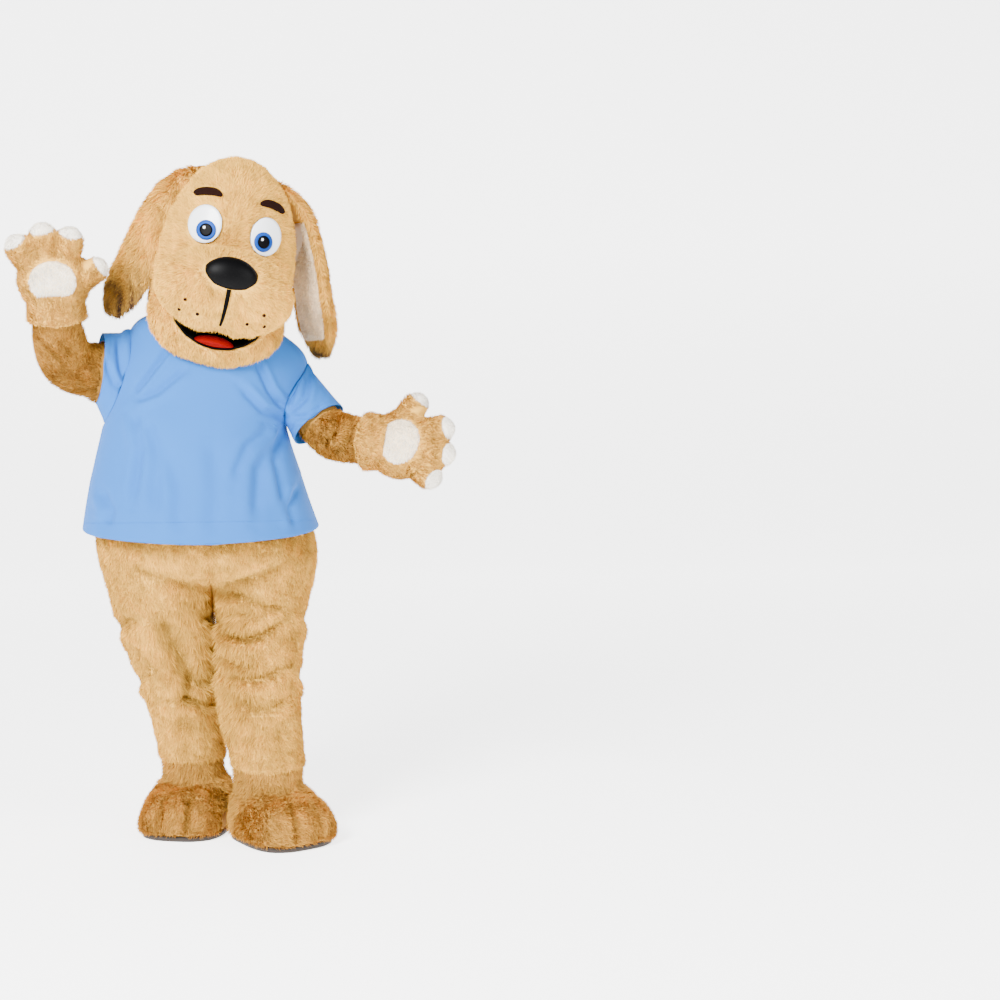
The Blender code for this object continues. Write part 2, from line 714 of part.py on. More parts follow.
def chest_solid(out):
    """A closed solid a little larger than the tee's upper body, to clear what hangs over it."""
    us = np.linspace(-1.0, 1.0, 2 * TEE_COLUMNS - 1)
    rows = []
    for z in [z for z in TEE_ROWS if z > 1.2]:
        rows.append([tee_point(-1, u, z) for u in us] + [tee_point(1, u, z) for u in us[::-1]])
    rows.insert(0, [point + np.array([0.0, 0.0, 0.10]) for point in rows[0]])
    return ringed_solid("chest_tool", rows, out)


def trunk_solid(out):
    """A closed solid a little larger than the suit's hips."""
    us = np.linspace(0.0, 1.0, SUIT_COLUMNS)
    rows = []
    for z in [z for z in SUIT_ROWS if 0.68 < z < 1.0]:
        row = [suit_point(-1, -1, u, z) for u in us[::-1]] + [suit_point(1, -1, u, z) for u in us[1:]]
        row += [suit_point(1, 1, u, z) for u in us[-2::-1]] + [suit_point(-1, 1, u, z) for u in us[1:-1]]
        rows.append(row)
    return ringed_solid("trunk_tool", rows, out)


def layer(name, outline, low, high, rings=(0.0, 0.5, 1.0)):
    """A thin piece on the face: outline(angle, share) gives x and h; low and high are its two faces."""
    turns = 14
    grids = []
    for out in (high, low):
        grid = []
        for share in rings:
            row = []
            for k in range(turns):
                x, h = outline(2 * math.pi * k / turns, share)
                row.append(in_head(face_point(x, h, out)))
            grid.append(row)
        grids.append(np.array(grid))
    top, bottom = grids
    quads = grid_quads(len(rings), turns, closed=True)
    count = len(rings) * turns
    points = np.concatenate([top.reshape(-1, 3), bottom.reshape(-1, 3)])
    faces = quads + [tuple(i + count for i in reversed(q)) for q in quads]
    last = (len(rings) - 1) * turns
    for k in range(turns):
        n = (k + 1) % turns
        faces.append((last + k, last + k + count, last + n + count, last + n))
    points, faces = merged(points, faces)
    return facing_out(solid_from(name, points, faces))


def build_face():
    """Eyes, brows, muzzle, nose, line, jaw, mouth, tongue and whisker dots."""
    half_x, half_h = EYE_HALF
    for side, word in ((-1, "right"), (1, "left")):
        at = side * EYE_X

        def oval(angle, share, at=at, rx=half_x, rh=half_h, dx=0.0, dh=0.0):
            return at + dx + rx * share * math.cos(angle), EYE_H + dh + rh * share * math.sin(angle)

        white = layer(f"eye_white_{word}", oval, -0.0030, 0.0060, (0.0, 0.4, 0.75, 1.0))
        combine(white, skull_solid(SEATED), "DIFFERENCE")
        inner = dict(dx=-side * 0.006, dh=-0.016)
        layer(
            f"iris_{word}",
            lambda a, r, oval=oval, inner=inner: oval(a, r, rx=0.026, rh=0.028, **inner),
            0.0064, 0.0080,
        )
        layer(
            f"pupil_{word}",
            lambda a, r, oval=oval, inner=inner: oval(a, r, rx=0.0165, rh=0.018, **inner),
            0.0085, 0.0100,
        )

        def brow(angle, share, side=side):
            along = 0.036 * share * math.copysign(abs(math.cos(angle)) ** 0.6, math.cos(angle))
            across = 0.0105 * share * math.copysign(abs(math.sin(angle)) ** 0.8, math.sin(angle))
            lift = -0.20 * abs(along) - 3.0 * along * along + 0.10 * side * -along
            return side * BROW_X + along, BROW_H + across + lift

        felt = layer(f"brow_{word}", brow, -0.0030, 0.0060)
        combine(felt, skull_solid(SEATED), "DIFFERENCE")


def muzzle_point(angle, lift, out=0.0):
    """The muzzle's surface: angle from its front round to the dog's left, lift up from its middle."""
    x, y, h = MUZZLE_CENTRE
    rx, ry, rh = (r + out for r in MUZZLE_RADII)
    round_x = math.copysign(abs(math.sin(angle)) ** 0.85, math.sin(angle))
    px = x + rx * round_x * math.cos(lift)
    py = y - ry * math.copysign(abs(math.cos(angle)) ** 0.85, math.cos(angle)) * math.cos(lift)
    ph = h + rh * math.sin(lift)
    cleft = 0.010 * math.exp(-((px / 0.030) ** 2)) * float(smooth((-0.3 - lift) / 0.9))
    return np.array([px, py + cleft * max(math.cos(angle), 0.0), ph + cleft * 0.9])


def muzzle_solid(name, out=0.0, turns=22, rings=12):
    """The closed muzzle form."""
    points = []
    for r in range(rings + 1):
        lift = math.pi / 2 - math.pi * r / rings
        points += [in_head(muzzle_point(2 * math.pi * k / turns, lift, out)) for k in range(turns)]
    points, faces = merged(points, grid_quads(rings + 1, turns, closed=True))
    return facing_out(solid_from(name, points, faces))


def build_muzzle():
    """Muzzle, nose, cord line and whisker dots."""
    muzzle = combine(muzzle_solid("muzzle"), skull_solid(SEATED), "DIFFERENCE")
    nose = ball("nose", NOSE_CENTRE, NOSE_RADII, 16, 10, in_head)
    combine(nose, muzzle_solid("muzzle_tool", SEATED), "DIFFERENCE")
    strip = []
    for lift in np.radians(np.linspace(2, -58, 9)):
        strip.append([in_head(muzzle_point(w / 0.122, lift, 0.0012)) for w in (-0.0022, 0.0022)])
    grid = np.array(strip)
    centre = in_head(MUZZLE_CENTRE)
    patch = Patch("muzzle_line", grid, outward_quads(grid, [centre] * len(grid)))
    share_normals([patch])
    line = wall(patch, -0.0022)
    combine(facing_out(line), ball("nose_tool", NOSE_CENTRE, np.array(NOSE_RADII) + 0.0008, 16, 10, in_head), "DIFFERENCE")
    for i, (angle, lift) in enumerate([(-34, -22), (-24, -40), (-48, -38), (34, -22), (24, -40), (48, -38)]):
        at, up = math.radians(angle), math.radians(lift)
        centre, outer = (muzzle_point(at, up, o) for o in (-0.0050, 0.0030))
        aim = (outer - centre) / np.linalg.norm(outer - centre)
        side = np.cross(aim, (0.0, 0.0, 1.0))
        side /= np.linalg.norm(side)
        rise = np.cross(side, aim)
        rows = []
        for depth, radius in ((0.0, 0.0055), (0.0080, 0.0046)):
            ringed = [
                in_head(centre + aim * depth + radius * (side * math.cos(a) + rise * math.sin(a)))
                for a in np.linspace(0, 2 * math.pi, 8, endpoint=False)
            ]
            rows += ringed
        faces = grid_quads(2, 8, closed=True) + [tuple(range(8)), tuple(reversed(range(8, 16)))]
        dot = facing_out(solid_from(f"whisker_dot_{i + 1}", rows, faces))
        combine(dot, muzzle_solid("muzzle_tool", SEATED), "DIFFERENCE")


def build_mouth():
    """Lower jaw, the dark lining of the mouth and the tongue."""
    jaw = ball("jaw", JAW_CENTRE, JAW_RADII, 20, 12, in_head)
    combine(jaw, ball("mouth_tool", MOUTH_CENTRE, MOUTH_RADII, 16, 10, in_head), "DIFFERENCE")
    combine(jaw, muzzle_solid("muzzle_tool", SEATED), "DIFFERENCE")
    combine(jaw, skull_solid(SEATED), "DIFFERENCE")
    combine(jaw, chest_solid(0.0020), "DIFFERENCE")
    lining = ball("mouth_lining", MOUTH_CENTRE, np.array(MOUTH_RADII) - 0.0008, 16, 10, in_head)
    hollow = ball("hollow_tool", MOUTH_CENTRE, np.array(MOUTH_RADII) - 0.0050, 16, 10, in_head)
    combine(lining, hollow, "DIFFERENCE")
    combine(lining, ball("jaw_tool", JAW_CENTRE, np.array(JAW_RADII) - 0.006, 20, 12, in_head), "INTERSECT")
    combine(lining, chest_solid(0.005), "DIFFERENCE")
    combine(lining, muzzle_solid("muzzle_tool", 0.0016), "DIFFERENCE")
    combine(lining, skull_solid(0.0016), "DIFFERENCE")
    tongue = ball("tongue", (0.0, -0.186, -0.222), (0.058, 0.072, 0.022), 14, 8, in_head)
    inner = ball("inner_tool", MOUTH_CENTRE, np.array(MOUTH_RADII) - 0.0058, 16, 10, in_head)
    combine(tongue, inner, "INTERSECT")
    combine(tongue, muzzle_solid("muzzle_tool", 0.0016), "DIFFERENCE")
    combine(tongue, skull_solid(0.0016), "DIFFERENCE")
    return jaw


# ---------------------------------------------------------------- ears

EarRow = namedtuple("EarRow", "t x y h half_width cup")
EAR = [
    EarRow(0.00, 0.096, 0.000, 0.236, 0.018, 0.000),
    EarRow(0.12, 0.156, 0.004, 0.216, 0.058, 0.004),
    EarRow(0.35, 0.214, 0.010, 0.112, 0.092, 0.014),
    EarRow(0.65, 0.256, 0.016, -0.020, 0.106, 0.018),
    EarRow(0.88, 0.288, 0.020, -0.130, 0.098, 0.014),
    EarRow(1.00, 0.304, 0.020, -0.190, 0.040, 0.006),
]
EAR_ROWS, EAR_COLUMNS = 11, 6
EAR_TURNS = {-1: math.radians(-26), 1: math.radians(18)}  # how far the front edge swings outwards
EAR_SHIFTS = {-1: -0.024, 1: 0.026}  # how much further out its tip hangs
EAR_BULGE = (0.030, 0.018)  # half thickness outside and inside the edge seam
LINING_ROWS, LINING_COLUMNS = (2, 9), (1, 5)


def ear_grid(side):
    """Middle surface and the two faces of an ear, root to tip."""
    outer, inner = [], []
    for r in range(EAR_ROWS):
        t = (r / (EAR_ROWS - 1)) ** 0.9
        row = EarRow(*spline([e.t for e in EAR], EAR, t))
        after = EarRow(*spline([e.t for e in EAR], EAR, min(t + 0.02, 1.0)))
        before = EarRow(*spline([e.t for e in EAR], EAR, max(t - 0.02, 0.0)))
        down = np.array([after.x - before.x, after.y - before.y, after.h - before.h])
        down /= np.linalg.norm(down)
        across = np.array([-math.sin(EAR_TURNS[side]), math.cos(EAR_TURNS[side]), 0.0])
        across -= down * np.dot(across, down)
        across /= np.linalg.norm(across)
        out = np.cross(across, down)
        out *= math.copysign(1.0, out[0])
        tip = math.sqrt(max(1.0 - max((t - 0.86) / 0.14, 0.0) ** 2, 0.0))
        outer_row, inner_row = [], []
        for c in range(EAR_COLUMNS + 1):
            u = 2.0 * c / EAR_COLUMNS - 1.0
            u = math.copysign(abs(u) ** 0.85, u)
            middle = np.array([row.x + EAR_SHIFTS[side] * t, row.y, row.h]) + across * u * row.half_width
            middle = middle - out * row.cup * u * u
            edge = math.sqrt(max(1.0 - u * u, 0.0)) * (0.25 + 0.75 * tip)
            for thick, sign, line in ((EAR_BULGE[0], 1, outer_row), (EAR_BULGE[1], -1, inner_row)):
                point = middle + out * sign * (0.0012 + thick * edge)
                line.append(in_head(point * np.array([side, 1.0, 1.0])))
        outer.append(outer_row)
        inner.append(inner_row)
    return np.array(outer), np.array(inner)


def build_ears():
    """Each ear a plump flap with a cream lining laid on its inner face."""
    for side, word in ((-1, "right"), (1, "left")):
        outer, inner = ear_grid(side)
        rows, columns = outer.shape[:2]
        quads = grid_quads(rows, columns)
        count = rows * columns
        rim = boundary_of(quads)
        faces = quads + [tuple(i + count for i in reversed(q)) for q in quads]
        faces += [(b, a, a + count, b + count) for a, b in rim]
        ear = facing_out(solid_from(f"ear_{word}", np.concatenate([outer.reshape(-1, 3), inner.reshape(-1, 3)]), faces))
        combine(ear, skull_solid(SEATED), "DIFFERENCE")
        (r0, r1), (c0, c1) = LINING_ROWS, LINING_COLUMNS
        face = inner[r0 : r1 + 1, c0 : c1 + 1]
        away = inner[r0 : r1 + 1, c0 : c1 + 1] - outer[r0 : r1 + 1, c0 : c1 + 1]
        away /= np.linalg.norm(away, axis=2)[:, :, None]
        low, high = face + away * 0.0004, face + away * 0.0050
        rows, columns = low.shape[:2]
        quads = grid_quads(rows, columns)
        count = rows * columns
        rim = boundary_of(quads)
        faces = quads + [tuple(i + count for i in reversed(q)) for q in quads]
        faces += [(b, a, a + count, b + count) for a, b in rim]
        points = np.concatenate([high.reshape(-1, 3), low.reshape(-1, 3)])
        lining = facing_out(solid_from(f"ear_lining_{word}", points, faces))
        combine(lining, skull_solid(0.0016), "DIFFERENCE")


# ---------------------------------------------------------------- mitts

Finger = namedtuple("Finger", "word x z tip_x tip_z radius")
FINGERS = [
    Finger("outer", -0.052, 0.040, -0.086, 0.100, 0.0370),
    Finger("middle", -0.012, 0.056, -0.020, 0.128, 0.0375),
    Finger("inner", 0.032, 0.048, 0.048, 0.114, 0.0370),
    Finger("thumb", 0.056, -0.010, 0.110, 0.028, 0.0360),
]
PALM_RADII = (0.098, 0.056, 0.094)
PAD_CENTRE, PAD_RADII = (-0.004, 0.012), (0.062, 0.055)
CAP_BACK = -0.018  # how far behind a finger's centre of tip its white cap starts
WRIST = (-0.112, -0.030, 0.0800, 0.0707)  # low and high end of the cuff, radius at each
WRIST_HOLE = (-0.134, -0.036, 0.0735, 0.0583)
MittPose = namedtuple("MittPose", "word side at fingers palm")
MITTS = [
    MittPose("right", 1.0, (-0.462, -0.167, 1.574), (-0.03, -0.32, 0.95), (0.08, -1.0, -0.10)),
    MittPose("left", -1.0, (0.476, -0.236, 1.126), (0.88, -0.46, -0.05), (-0.36, -0.84, 0.30)),
]


def mitt_place(pose):
    """The transform from a mitt's own frame, fingers up and palm to -Y, to the costume's."""
    up = np.array(pose.fingers) / np.linalg.norm(pose.fingers)
    palm = np.array(pose.palm) - up * np.dot(pose.palm, up)
    palm /= np.linalg.norm(palm)
    across = np.cross(up, palm)

    def place(p):
        return np.array(pose.at) + across * p[0] * pose.side - palm * p[1] + up * p[2]

    return place


def palm_ball(name, radii, place, turns=18, rings=12):
    """The palm's rounded form."""
    return facing_out(ball(name, (0.0, 0.0, 0.0), radii, turns, rings, place))


def wrist_tube(name, low, high, low_radius, high_radius, place, turns=16):
    """A closed round bar along the wrist."""
    rows = [(low, low_radius), (high, high_radius)]
    points = [
        place(np.array([r * math.cos(2 * math.pi * k / turns), 0.98 * r * math.sin(2 * math.pi * k / turns), z]))
        for z, r in rows
        for k in range(turns)
    ]
    faces = grid_quads(2, turns, closed=True) + [tuple(range(turns)), tuple(range(turns, 2 * turns))]
    return facing_out(solid_from(name, points, faces))


def build_mitt(pose):
    """One mitt: fur hand, hollow to the wrist, white finger caps and a cream palm pad."""
    place = mitt_place(pose)
    mitt = palm_ball(f"mitt_{pose.word}", PALM_RADII, place)
    combine(mitt, wrist_tube("wrist", *WRIST, place), "UNION")
    for f in FINGERS:
        bar = capsule("finger", (f.x, 0.0, f.z), (f.tip_x, -0.010, f.tip_z), f.radius, 10, place)
        combine(mitt, bar, "UNION")
    hollow = palm_ball("hollow", np.array(PALM_RADII) - 0.012, place, 14, 10)
    combine(hollow, wrist_tube("wrist_hole", *WRIST_HOLE, place, 14), "UNION")
    combine(mitt, hollow, "DIFFERENCE")
    for f in FINGERS:
        start, tip = np.array([f.x, 0.0, f.z]), np.array([f.tip_x, -0.010, f.tip_z])
        axis = (tip - start) / np.linalg.norm(tip - start)
        at = tip - axis * CAP_BACK
        side = np.cross(axis, (0.0, 1.0, 0.0))
        side /= np.linalg.norm(side)
        other = np.cross(axis, side)
        for offset, piece in ((-0.0002, "mitt"), (0.0002, "cap")):
            base = at + axis * offset
            corners = [base + side * a * 0.045 + other * b * 0.045 for a, b in ((-1, -1), (1, -1), (1, 1), (-1, 1))]
            box = corners + [c + axis * 0.08 for c in corners]
            faces = [(0, 1, 2, 3), (4, 5, 6, 7), (0, 1, 5, 4), (1, 2, 6, 5), (2, 3, 7, 6), (3, 0, 4, 7)]
            tool = facing_out(solid_from("tip_tool", [place(c) for c in box], faces))
            if piece == "mitt":
                combine(mitt, tool, "DIFFERENCE")
            else:
                cap = capsule(f"finger_cap_{f.word}_{pose.word}", start, tip, f.radius, 10, place)
                combine(cap, tool, "INTERSECT")
    turns, rings = 14, (0.0, 0.5, 0.8, 1.0)
    faces_of = []
    for out in (0.0050, -0.0040):
        grid = []
        for share in rings:
            for k in range(turns):
                a = 2 * math.pi * k / turns
                x = PAD_CENTRE[0] + PAD_RADII[0] * share * math.cos(a)
                z = PAD_CENTRE[1] + PAD_RADII[1] * share * math.sin(a)
                rx, ry, rz = (r + out for r in PALM_RADII)
                y = -ry * math.sqrt(max(1.0 - (x / rx) ** 2 - (z / rz) ** 2, 0.0))
                grid.append(place(np.array([x, y, z])))
        faces_of.append(grid)
    count = len(faces_of[0])
    quads = grid_quads(len(rings), turns, closed=True)
    last = (len(rings) - 1) * turns
    faces = quads + [tuple(i + count for i in reversed(q)) for q in quads]
    faces += [(last + k, last + k + count, last + (k + 1) % turns + count, last + (k + 1) % turns) for k in range(turns)]
    points, faces = merged(np.array(faces_of[0] + faces_of[1]), faces)
    pad = facing_out(solid_from(f"palm_pad_{pose.word}", points, faces))
    combine(pad, palm_ball("palm_tool", np.array(PALM_RADII) + SEATED, place), "DIFFERENCE")
    low, high, low_radius, high_radius = WRIST
    cuff = wrist_tube("cuff_tool", low, high + 0.002, low_radius + 0.0016, high_radius + 0.0016, place)
    combine(pad, cuff, "DIFFERENCE")
    for f in FINGERS:
        bar = capsule("finger_tool", (f.x, 0.0, f.z), (f.tip_x, -0.010, f.tip_z), f.radius + 0.0014, 10, place)
        combine(pad, bar, "DIFFERENCE")


# ---------------------------------------------------------------- shoes and tail

ShoeRow = namedtuple("ShoeRow", "y half_width top")
SHOE = [
    ShoeRow(-0.205, 0.046, 0.052),
    ShoeRow(-0.188, 0.086, 0.086),
    ShoeRow(-0.152, 0.113, 0.114),
    ShoeRow(-0.100, 0.122, 0.136),
    ShoeRow(-0.045, 0.120, 0.164),
    ShoeRow(0.005, 0.116, 0.178),
    ShoeRow(0.050, 0.106, 0.172),
    ShoeRow(0.078, 0.082, 0.148),
    ShoeRow(0.090, 0.046, 0.090),
]
SOLE_TOP = 0.014
ANKLE_INSET = 0.0102  # the shoe's collar stands this far inside the trouser leg's outside
ShoePose = namedtuple("ShoePose", "word x y turn")
SHOES = [
    ShoePose("right", -0.106, 0.056, math.radians(-18)),
    ShoePose("left", 0.108, -0.100, math.radians(30)),
]
TOE_GROOVES = (-0.36, 0.36)


def shoe_place(pose):
    """A shoe's own frame, toe to -Y and floor at 0, in the costume's."""
    c, s = math.cos(pose.turn), math.sin(pose.turn)

    def place(p):
        return np.array([pose.x + p[0] * c - p[1] * s, pose.y + p[0] * s + p[1] * c, p[2]])

    return place


def shoe_sheet(place, inset):
    """The shoe's rounded form as a closed solid's points and faces, shrunk by inset."""
    rows = []
    turns = 14
    ys = [r.y for r in SHOE]
    for y in np.concatenate([[-0.205, -0.197, -0.178], np.linspace(-0.146, 0.060, 6), [0.082, 0.090]]):
        row = ShoeRow(*spline(ys, SHOE, y))
        shrunk = y * (1.0 - inset / 0.145) - (0.057 * inset / 0.145)
        ring_points = []
        for k in range(turns):
            a = math.pi * k / (turns - 1)
            cos, sin = math.cos(a), math.sin(a)
            x = (row.half_width - inset) * math.copysign(abs(cos) ** 0.75, cos)
            groove = sum(math.exp(-(((x / row.half_width) - g) / 0.10) ** 2) for g in TOE_GROOVES)
            front = float(smooth((-0.07 - y) / 0.08))
            z = SOLE_TOP + 0.0005 + inset + (row.top - SOLE_TOP - 2 * inset) * abs(sin) ** 0.75
            z -= 0.010 * groove * front * sin
            ring_points.append(place(np.array([x, shrunk, z])))
        rows.append(ring_points)
    return rows, turns


def shoe_solid(name, place, inset=0.0):
    """A closed shoe form."""
    rows, turns = shoe_sheet(place, inset)
    faces = grid_quads(len(rows), turns, closed=True)
    faces += [tuple(range(turns)), tuple(range((len(rows) - 1) * turns, len(rows) * turns))]
    return facing_out(solid_from(name, np.array(rows).reshape(-1, 3), faces))


def ankle_bar(name, pose, inset, heights):
    """A closed bar inside the trouser leg, standing inset from its outside."""
    table = LEG_RIGHT if pose.word == "right" else LEG_LEFT
    turns = 14
    rows = []
    for z in heights:
        s = section_at(table, max(z, 0.20))
        for a in np.linspace(0, 2 * math.pi, turns, endpoint=False):
            depth = s.front if math.sin(a) < 0 else s.back
            rows.append(
                np.array([s.cx + (s.half_width - inset) * math.cos(a), s.cy + (depth - inset) * math.sin(a), z])
            )
    last = (len(heights) - 1) * turns
    faces = grid_quads(len(heights), turns, closed=True)
    faces += [tuple(range(turns)), tuple(range(last, last + turns))]
    return facing_out(solid_from(name, rows, faces))


def build_shoe(pose):
    """One shoe: fur upper, open at the ankle, on a dark flat sole."""
    place = shoe_place(pose)
    upper = shoe_solid(f"shoe_{pose.word}", place)
    combine(upper, ankle_bar("ankle", pose, ANKLE_INSET, (0.11, 0.205, 0.245)), "UNION")
    hollow = shoe_solid("shoe_hollow", place, 0.010)
    combine(hollow, ankle_bar("ankle_hole", pose, ANKLE_INSET + 0.008, (0.10, 0.205, 0.27)), "UNION")
    combine(upper, hollow, "DIFFERENCE")
    outline = []
    ys = [r.y for r in SHOE]
    stations = np.concatenate([[-0.205, -0.196, -0.178], np.linspace(-0.152, 0.064, 8), [0.086]])
    for sign in (-1, 1):
        for y in stations if sign < 0 else stations[::-1]:
            half = ShoeRow(*spline(ys, SHOE, y)).half_width - 0.004
            outline.append((sign * half, y * 0.985))
    count = len(outline)
    points = [place(np.array([x, y, z])) for z in (0.0, SOLE_TOP) for x, y in outline]
    faces = [tuple(range(count)), tuple(range(count, 2 * count))]
    faces += [(i, (i + 1) % count, (i + 1) % count + count, i + count) for i in range(count)]
    facing_out(solid_from(f"shoe_sole_{pose.word}", points, faces))


TAIL = [
    Station(-0.062, 0.176, 0.835, 0.046, 0.036),
    Station(-0.062, 0.232, 0.800, 0.050, 0.040),
    Station(-0.062, 0.268, 0.730, 0.050, 0.042),
    Station(-0.062, 0.290, 0.660, 0.044, 0.040),
    Station(-0.062, 0.304, 0.606, 0.024, 0.022),
]


def build_tail():
    """The stuffed tail, seated on the back of the suit."""
    frames = ring_frames(TAIL, 9)
    angles = np.linspace(0.0, 2.0 * math.pi, 12, endpoint=False)
    rows = [ring(frame, angles) for frame in frames]
    rows.append([rows[-1].mean(axis=0) + np.array([0.0, 0.004, -0.014])] * 12)
    points = np.array([list(row) for row in rows]).reshape(-1, 3)
    faces = grid_quads(len(rows), 12, closed=True) + [tuple(range(12))]
    points, faces = merged(points, faces)
    tail = facing_out(solid_from("tail", points, faces))
    combine(tail, trunk_solid(0.0009), "DIFFERENCE")


def main():
    """Clears the startup scene, makes the frame and builds each group."""
    for obj in list(bpy.data.objects):
        bpy.data.objects.remove(obj)
    frame = bpy.data.objects.new("wearer_frame", None)
    frame.location = (0.0, 0.0, -HOLD_HEIGHT)
    bpy.context.scene.collection.objects.link(frame)
    build_suit()
    build_tee()
    build_skull()
    build_face()
    build_muzzle()
    build_mouth()
    build_ears()
    for pose in MITTS:
        build_mitt(pose)
    for pose in SHOES:
        build_shoe(pose)
    build_tail()


main()
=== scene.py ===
"""Looks of a plush dog costume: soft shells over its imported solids, pile as mesh, studio light."""

import json
import logging
import math
from dataclasses import dataclass, replace
from enum import Enum
from functools import cache

import bmesh
import bpy
import numpy as np
from mathutils import Matrix, Vector
from mathutils.bvhtree import BVHTree

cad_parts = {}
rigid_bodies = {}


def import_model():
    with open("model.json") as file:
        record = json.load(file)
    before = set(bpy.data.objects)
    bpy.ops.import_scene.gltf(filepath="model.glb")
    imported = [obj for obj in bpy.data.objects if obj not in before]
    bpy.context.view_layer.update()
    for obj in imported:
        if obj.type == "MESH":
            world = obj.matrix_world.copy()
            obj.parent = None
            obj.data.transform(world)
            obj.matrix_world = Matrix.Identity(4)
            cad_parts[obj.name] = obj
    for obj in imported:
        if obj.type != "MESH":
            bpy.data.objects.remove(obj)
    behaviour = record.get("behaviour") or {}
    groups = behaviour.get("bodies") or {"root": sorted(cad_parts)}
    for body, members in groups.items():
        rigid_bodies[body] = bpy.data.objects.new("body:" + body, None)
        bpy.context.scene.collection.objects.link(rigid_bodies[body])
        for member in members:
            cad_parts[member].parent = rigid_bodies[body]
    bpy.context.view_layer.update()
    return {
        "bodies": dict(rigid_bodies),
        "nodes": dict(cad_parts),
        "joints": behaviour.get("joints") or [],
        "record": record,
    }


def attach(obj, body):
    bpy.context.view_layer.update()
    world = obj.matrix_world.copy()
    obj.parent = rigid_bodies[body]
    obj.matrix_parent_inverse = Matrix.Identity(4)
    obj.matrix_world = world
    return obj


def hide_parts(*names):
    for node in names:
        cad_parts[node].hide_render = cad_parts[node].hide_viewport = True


log = logging.getLogger("costume")

HOLD = 1.42  # height of the row's origin above the floor, in metres
SIDES = ("left", "right")
FINGERS = ("outer", "middle", "inner", "thumb")


def row(points) -> np.ndarray:
    """One point or several, given in metres above the floor, in the row's frame."""
    return np.array(points, float) - np.array([0.0, 0.0, HOLD])


def unit(vectors: np.ndarray) -> np.ndarray:
    """The vectors at length one."""
    return vectors / np.maximum(np.linalg.norm(vectors, axis=-1, keepdims=True), 1e-9)


def nearest_on(line: np.ndarray, at: np.ndarray) -> tuple:
    """The nearest place of a broken line to each point, in two or three dimensions.

    Args:
        line: the line's corners.
        at: the points.

    Returns:
        The distances, the places, the directions of the line's stretches there, and how many
        stretches along the line the places are.
    """
    best, runs = np.full(len(at), 1e9), np.zeros(len(at))
    spots, ways = np.zeros_like(at), np.zeros_like(at)
    for i, (start, end) in enumerate(zip(line[:-1], line[1:])):
        along = end - start
        share = np.clip(((at - start) @ along) / (along @ along), 0.0, 1.0)
        spot = start + share[:, None] * along
        distance = np.linalg.norm(at - spot, axis=1)
        near = distance < best
        best[near], spots[near] = distance[near], spot[near]
        ways[near], runs[near] = along, i + share[near]
    return best, spots, ways, runs


def vertex_vectors(mesh: bpy.types.Mesh, name: str) -> np.ndarray:
    """The places ("co") or normals ("normal") of a mesh's vertices, as rows."""
    values = np.empty(len(mesh.vertices) * 3, np.float32)
    mesh.vertices.foreach_get(name, values)
    return values.reshape(-1, 3).astype(float)


def mesh_from(bm: bmesh.types.BMesh, name: str) -> bpy.types.Mesh:
    """A mesh with what a bmesh holds; the bmesh is freed."""
    mesh = bpy.data.meshes.new(name)
    bm.to_mesh(mesh)
    bm.free()
    return mesh


def show(name: str, data: bpy.types.ID) -> bpy.types.Object:
    """An object of that mesh, camera or lamp, linked to the scene."""
    obj = bpy.data.objects.new(name, data)
    bpy.context.scene.collection.objects.link(obj)
    return obj


def fill(node: bpy.types.ShaderNode, values: dict) -> None:
    """Sets a shader node's unlinked inputs, by name."""
    for name, value in values.items():
        node.inputs[name].default_value = value


# ---- finishes


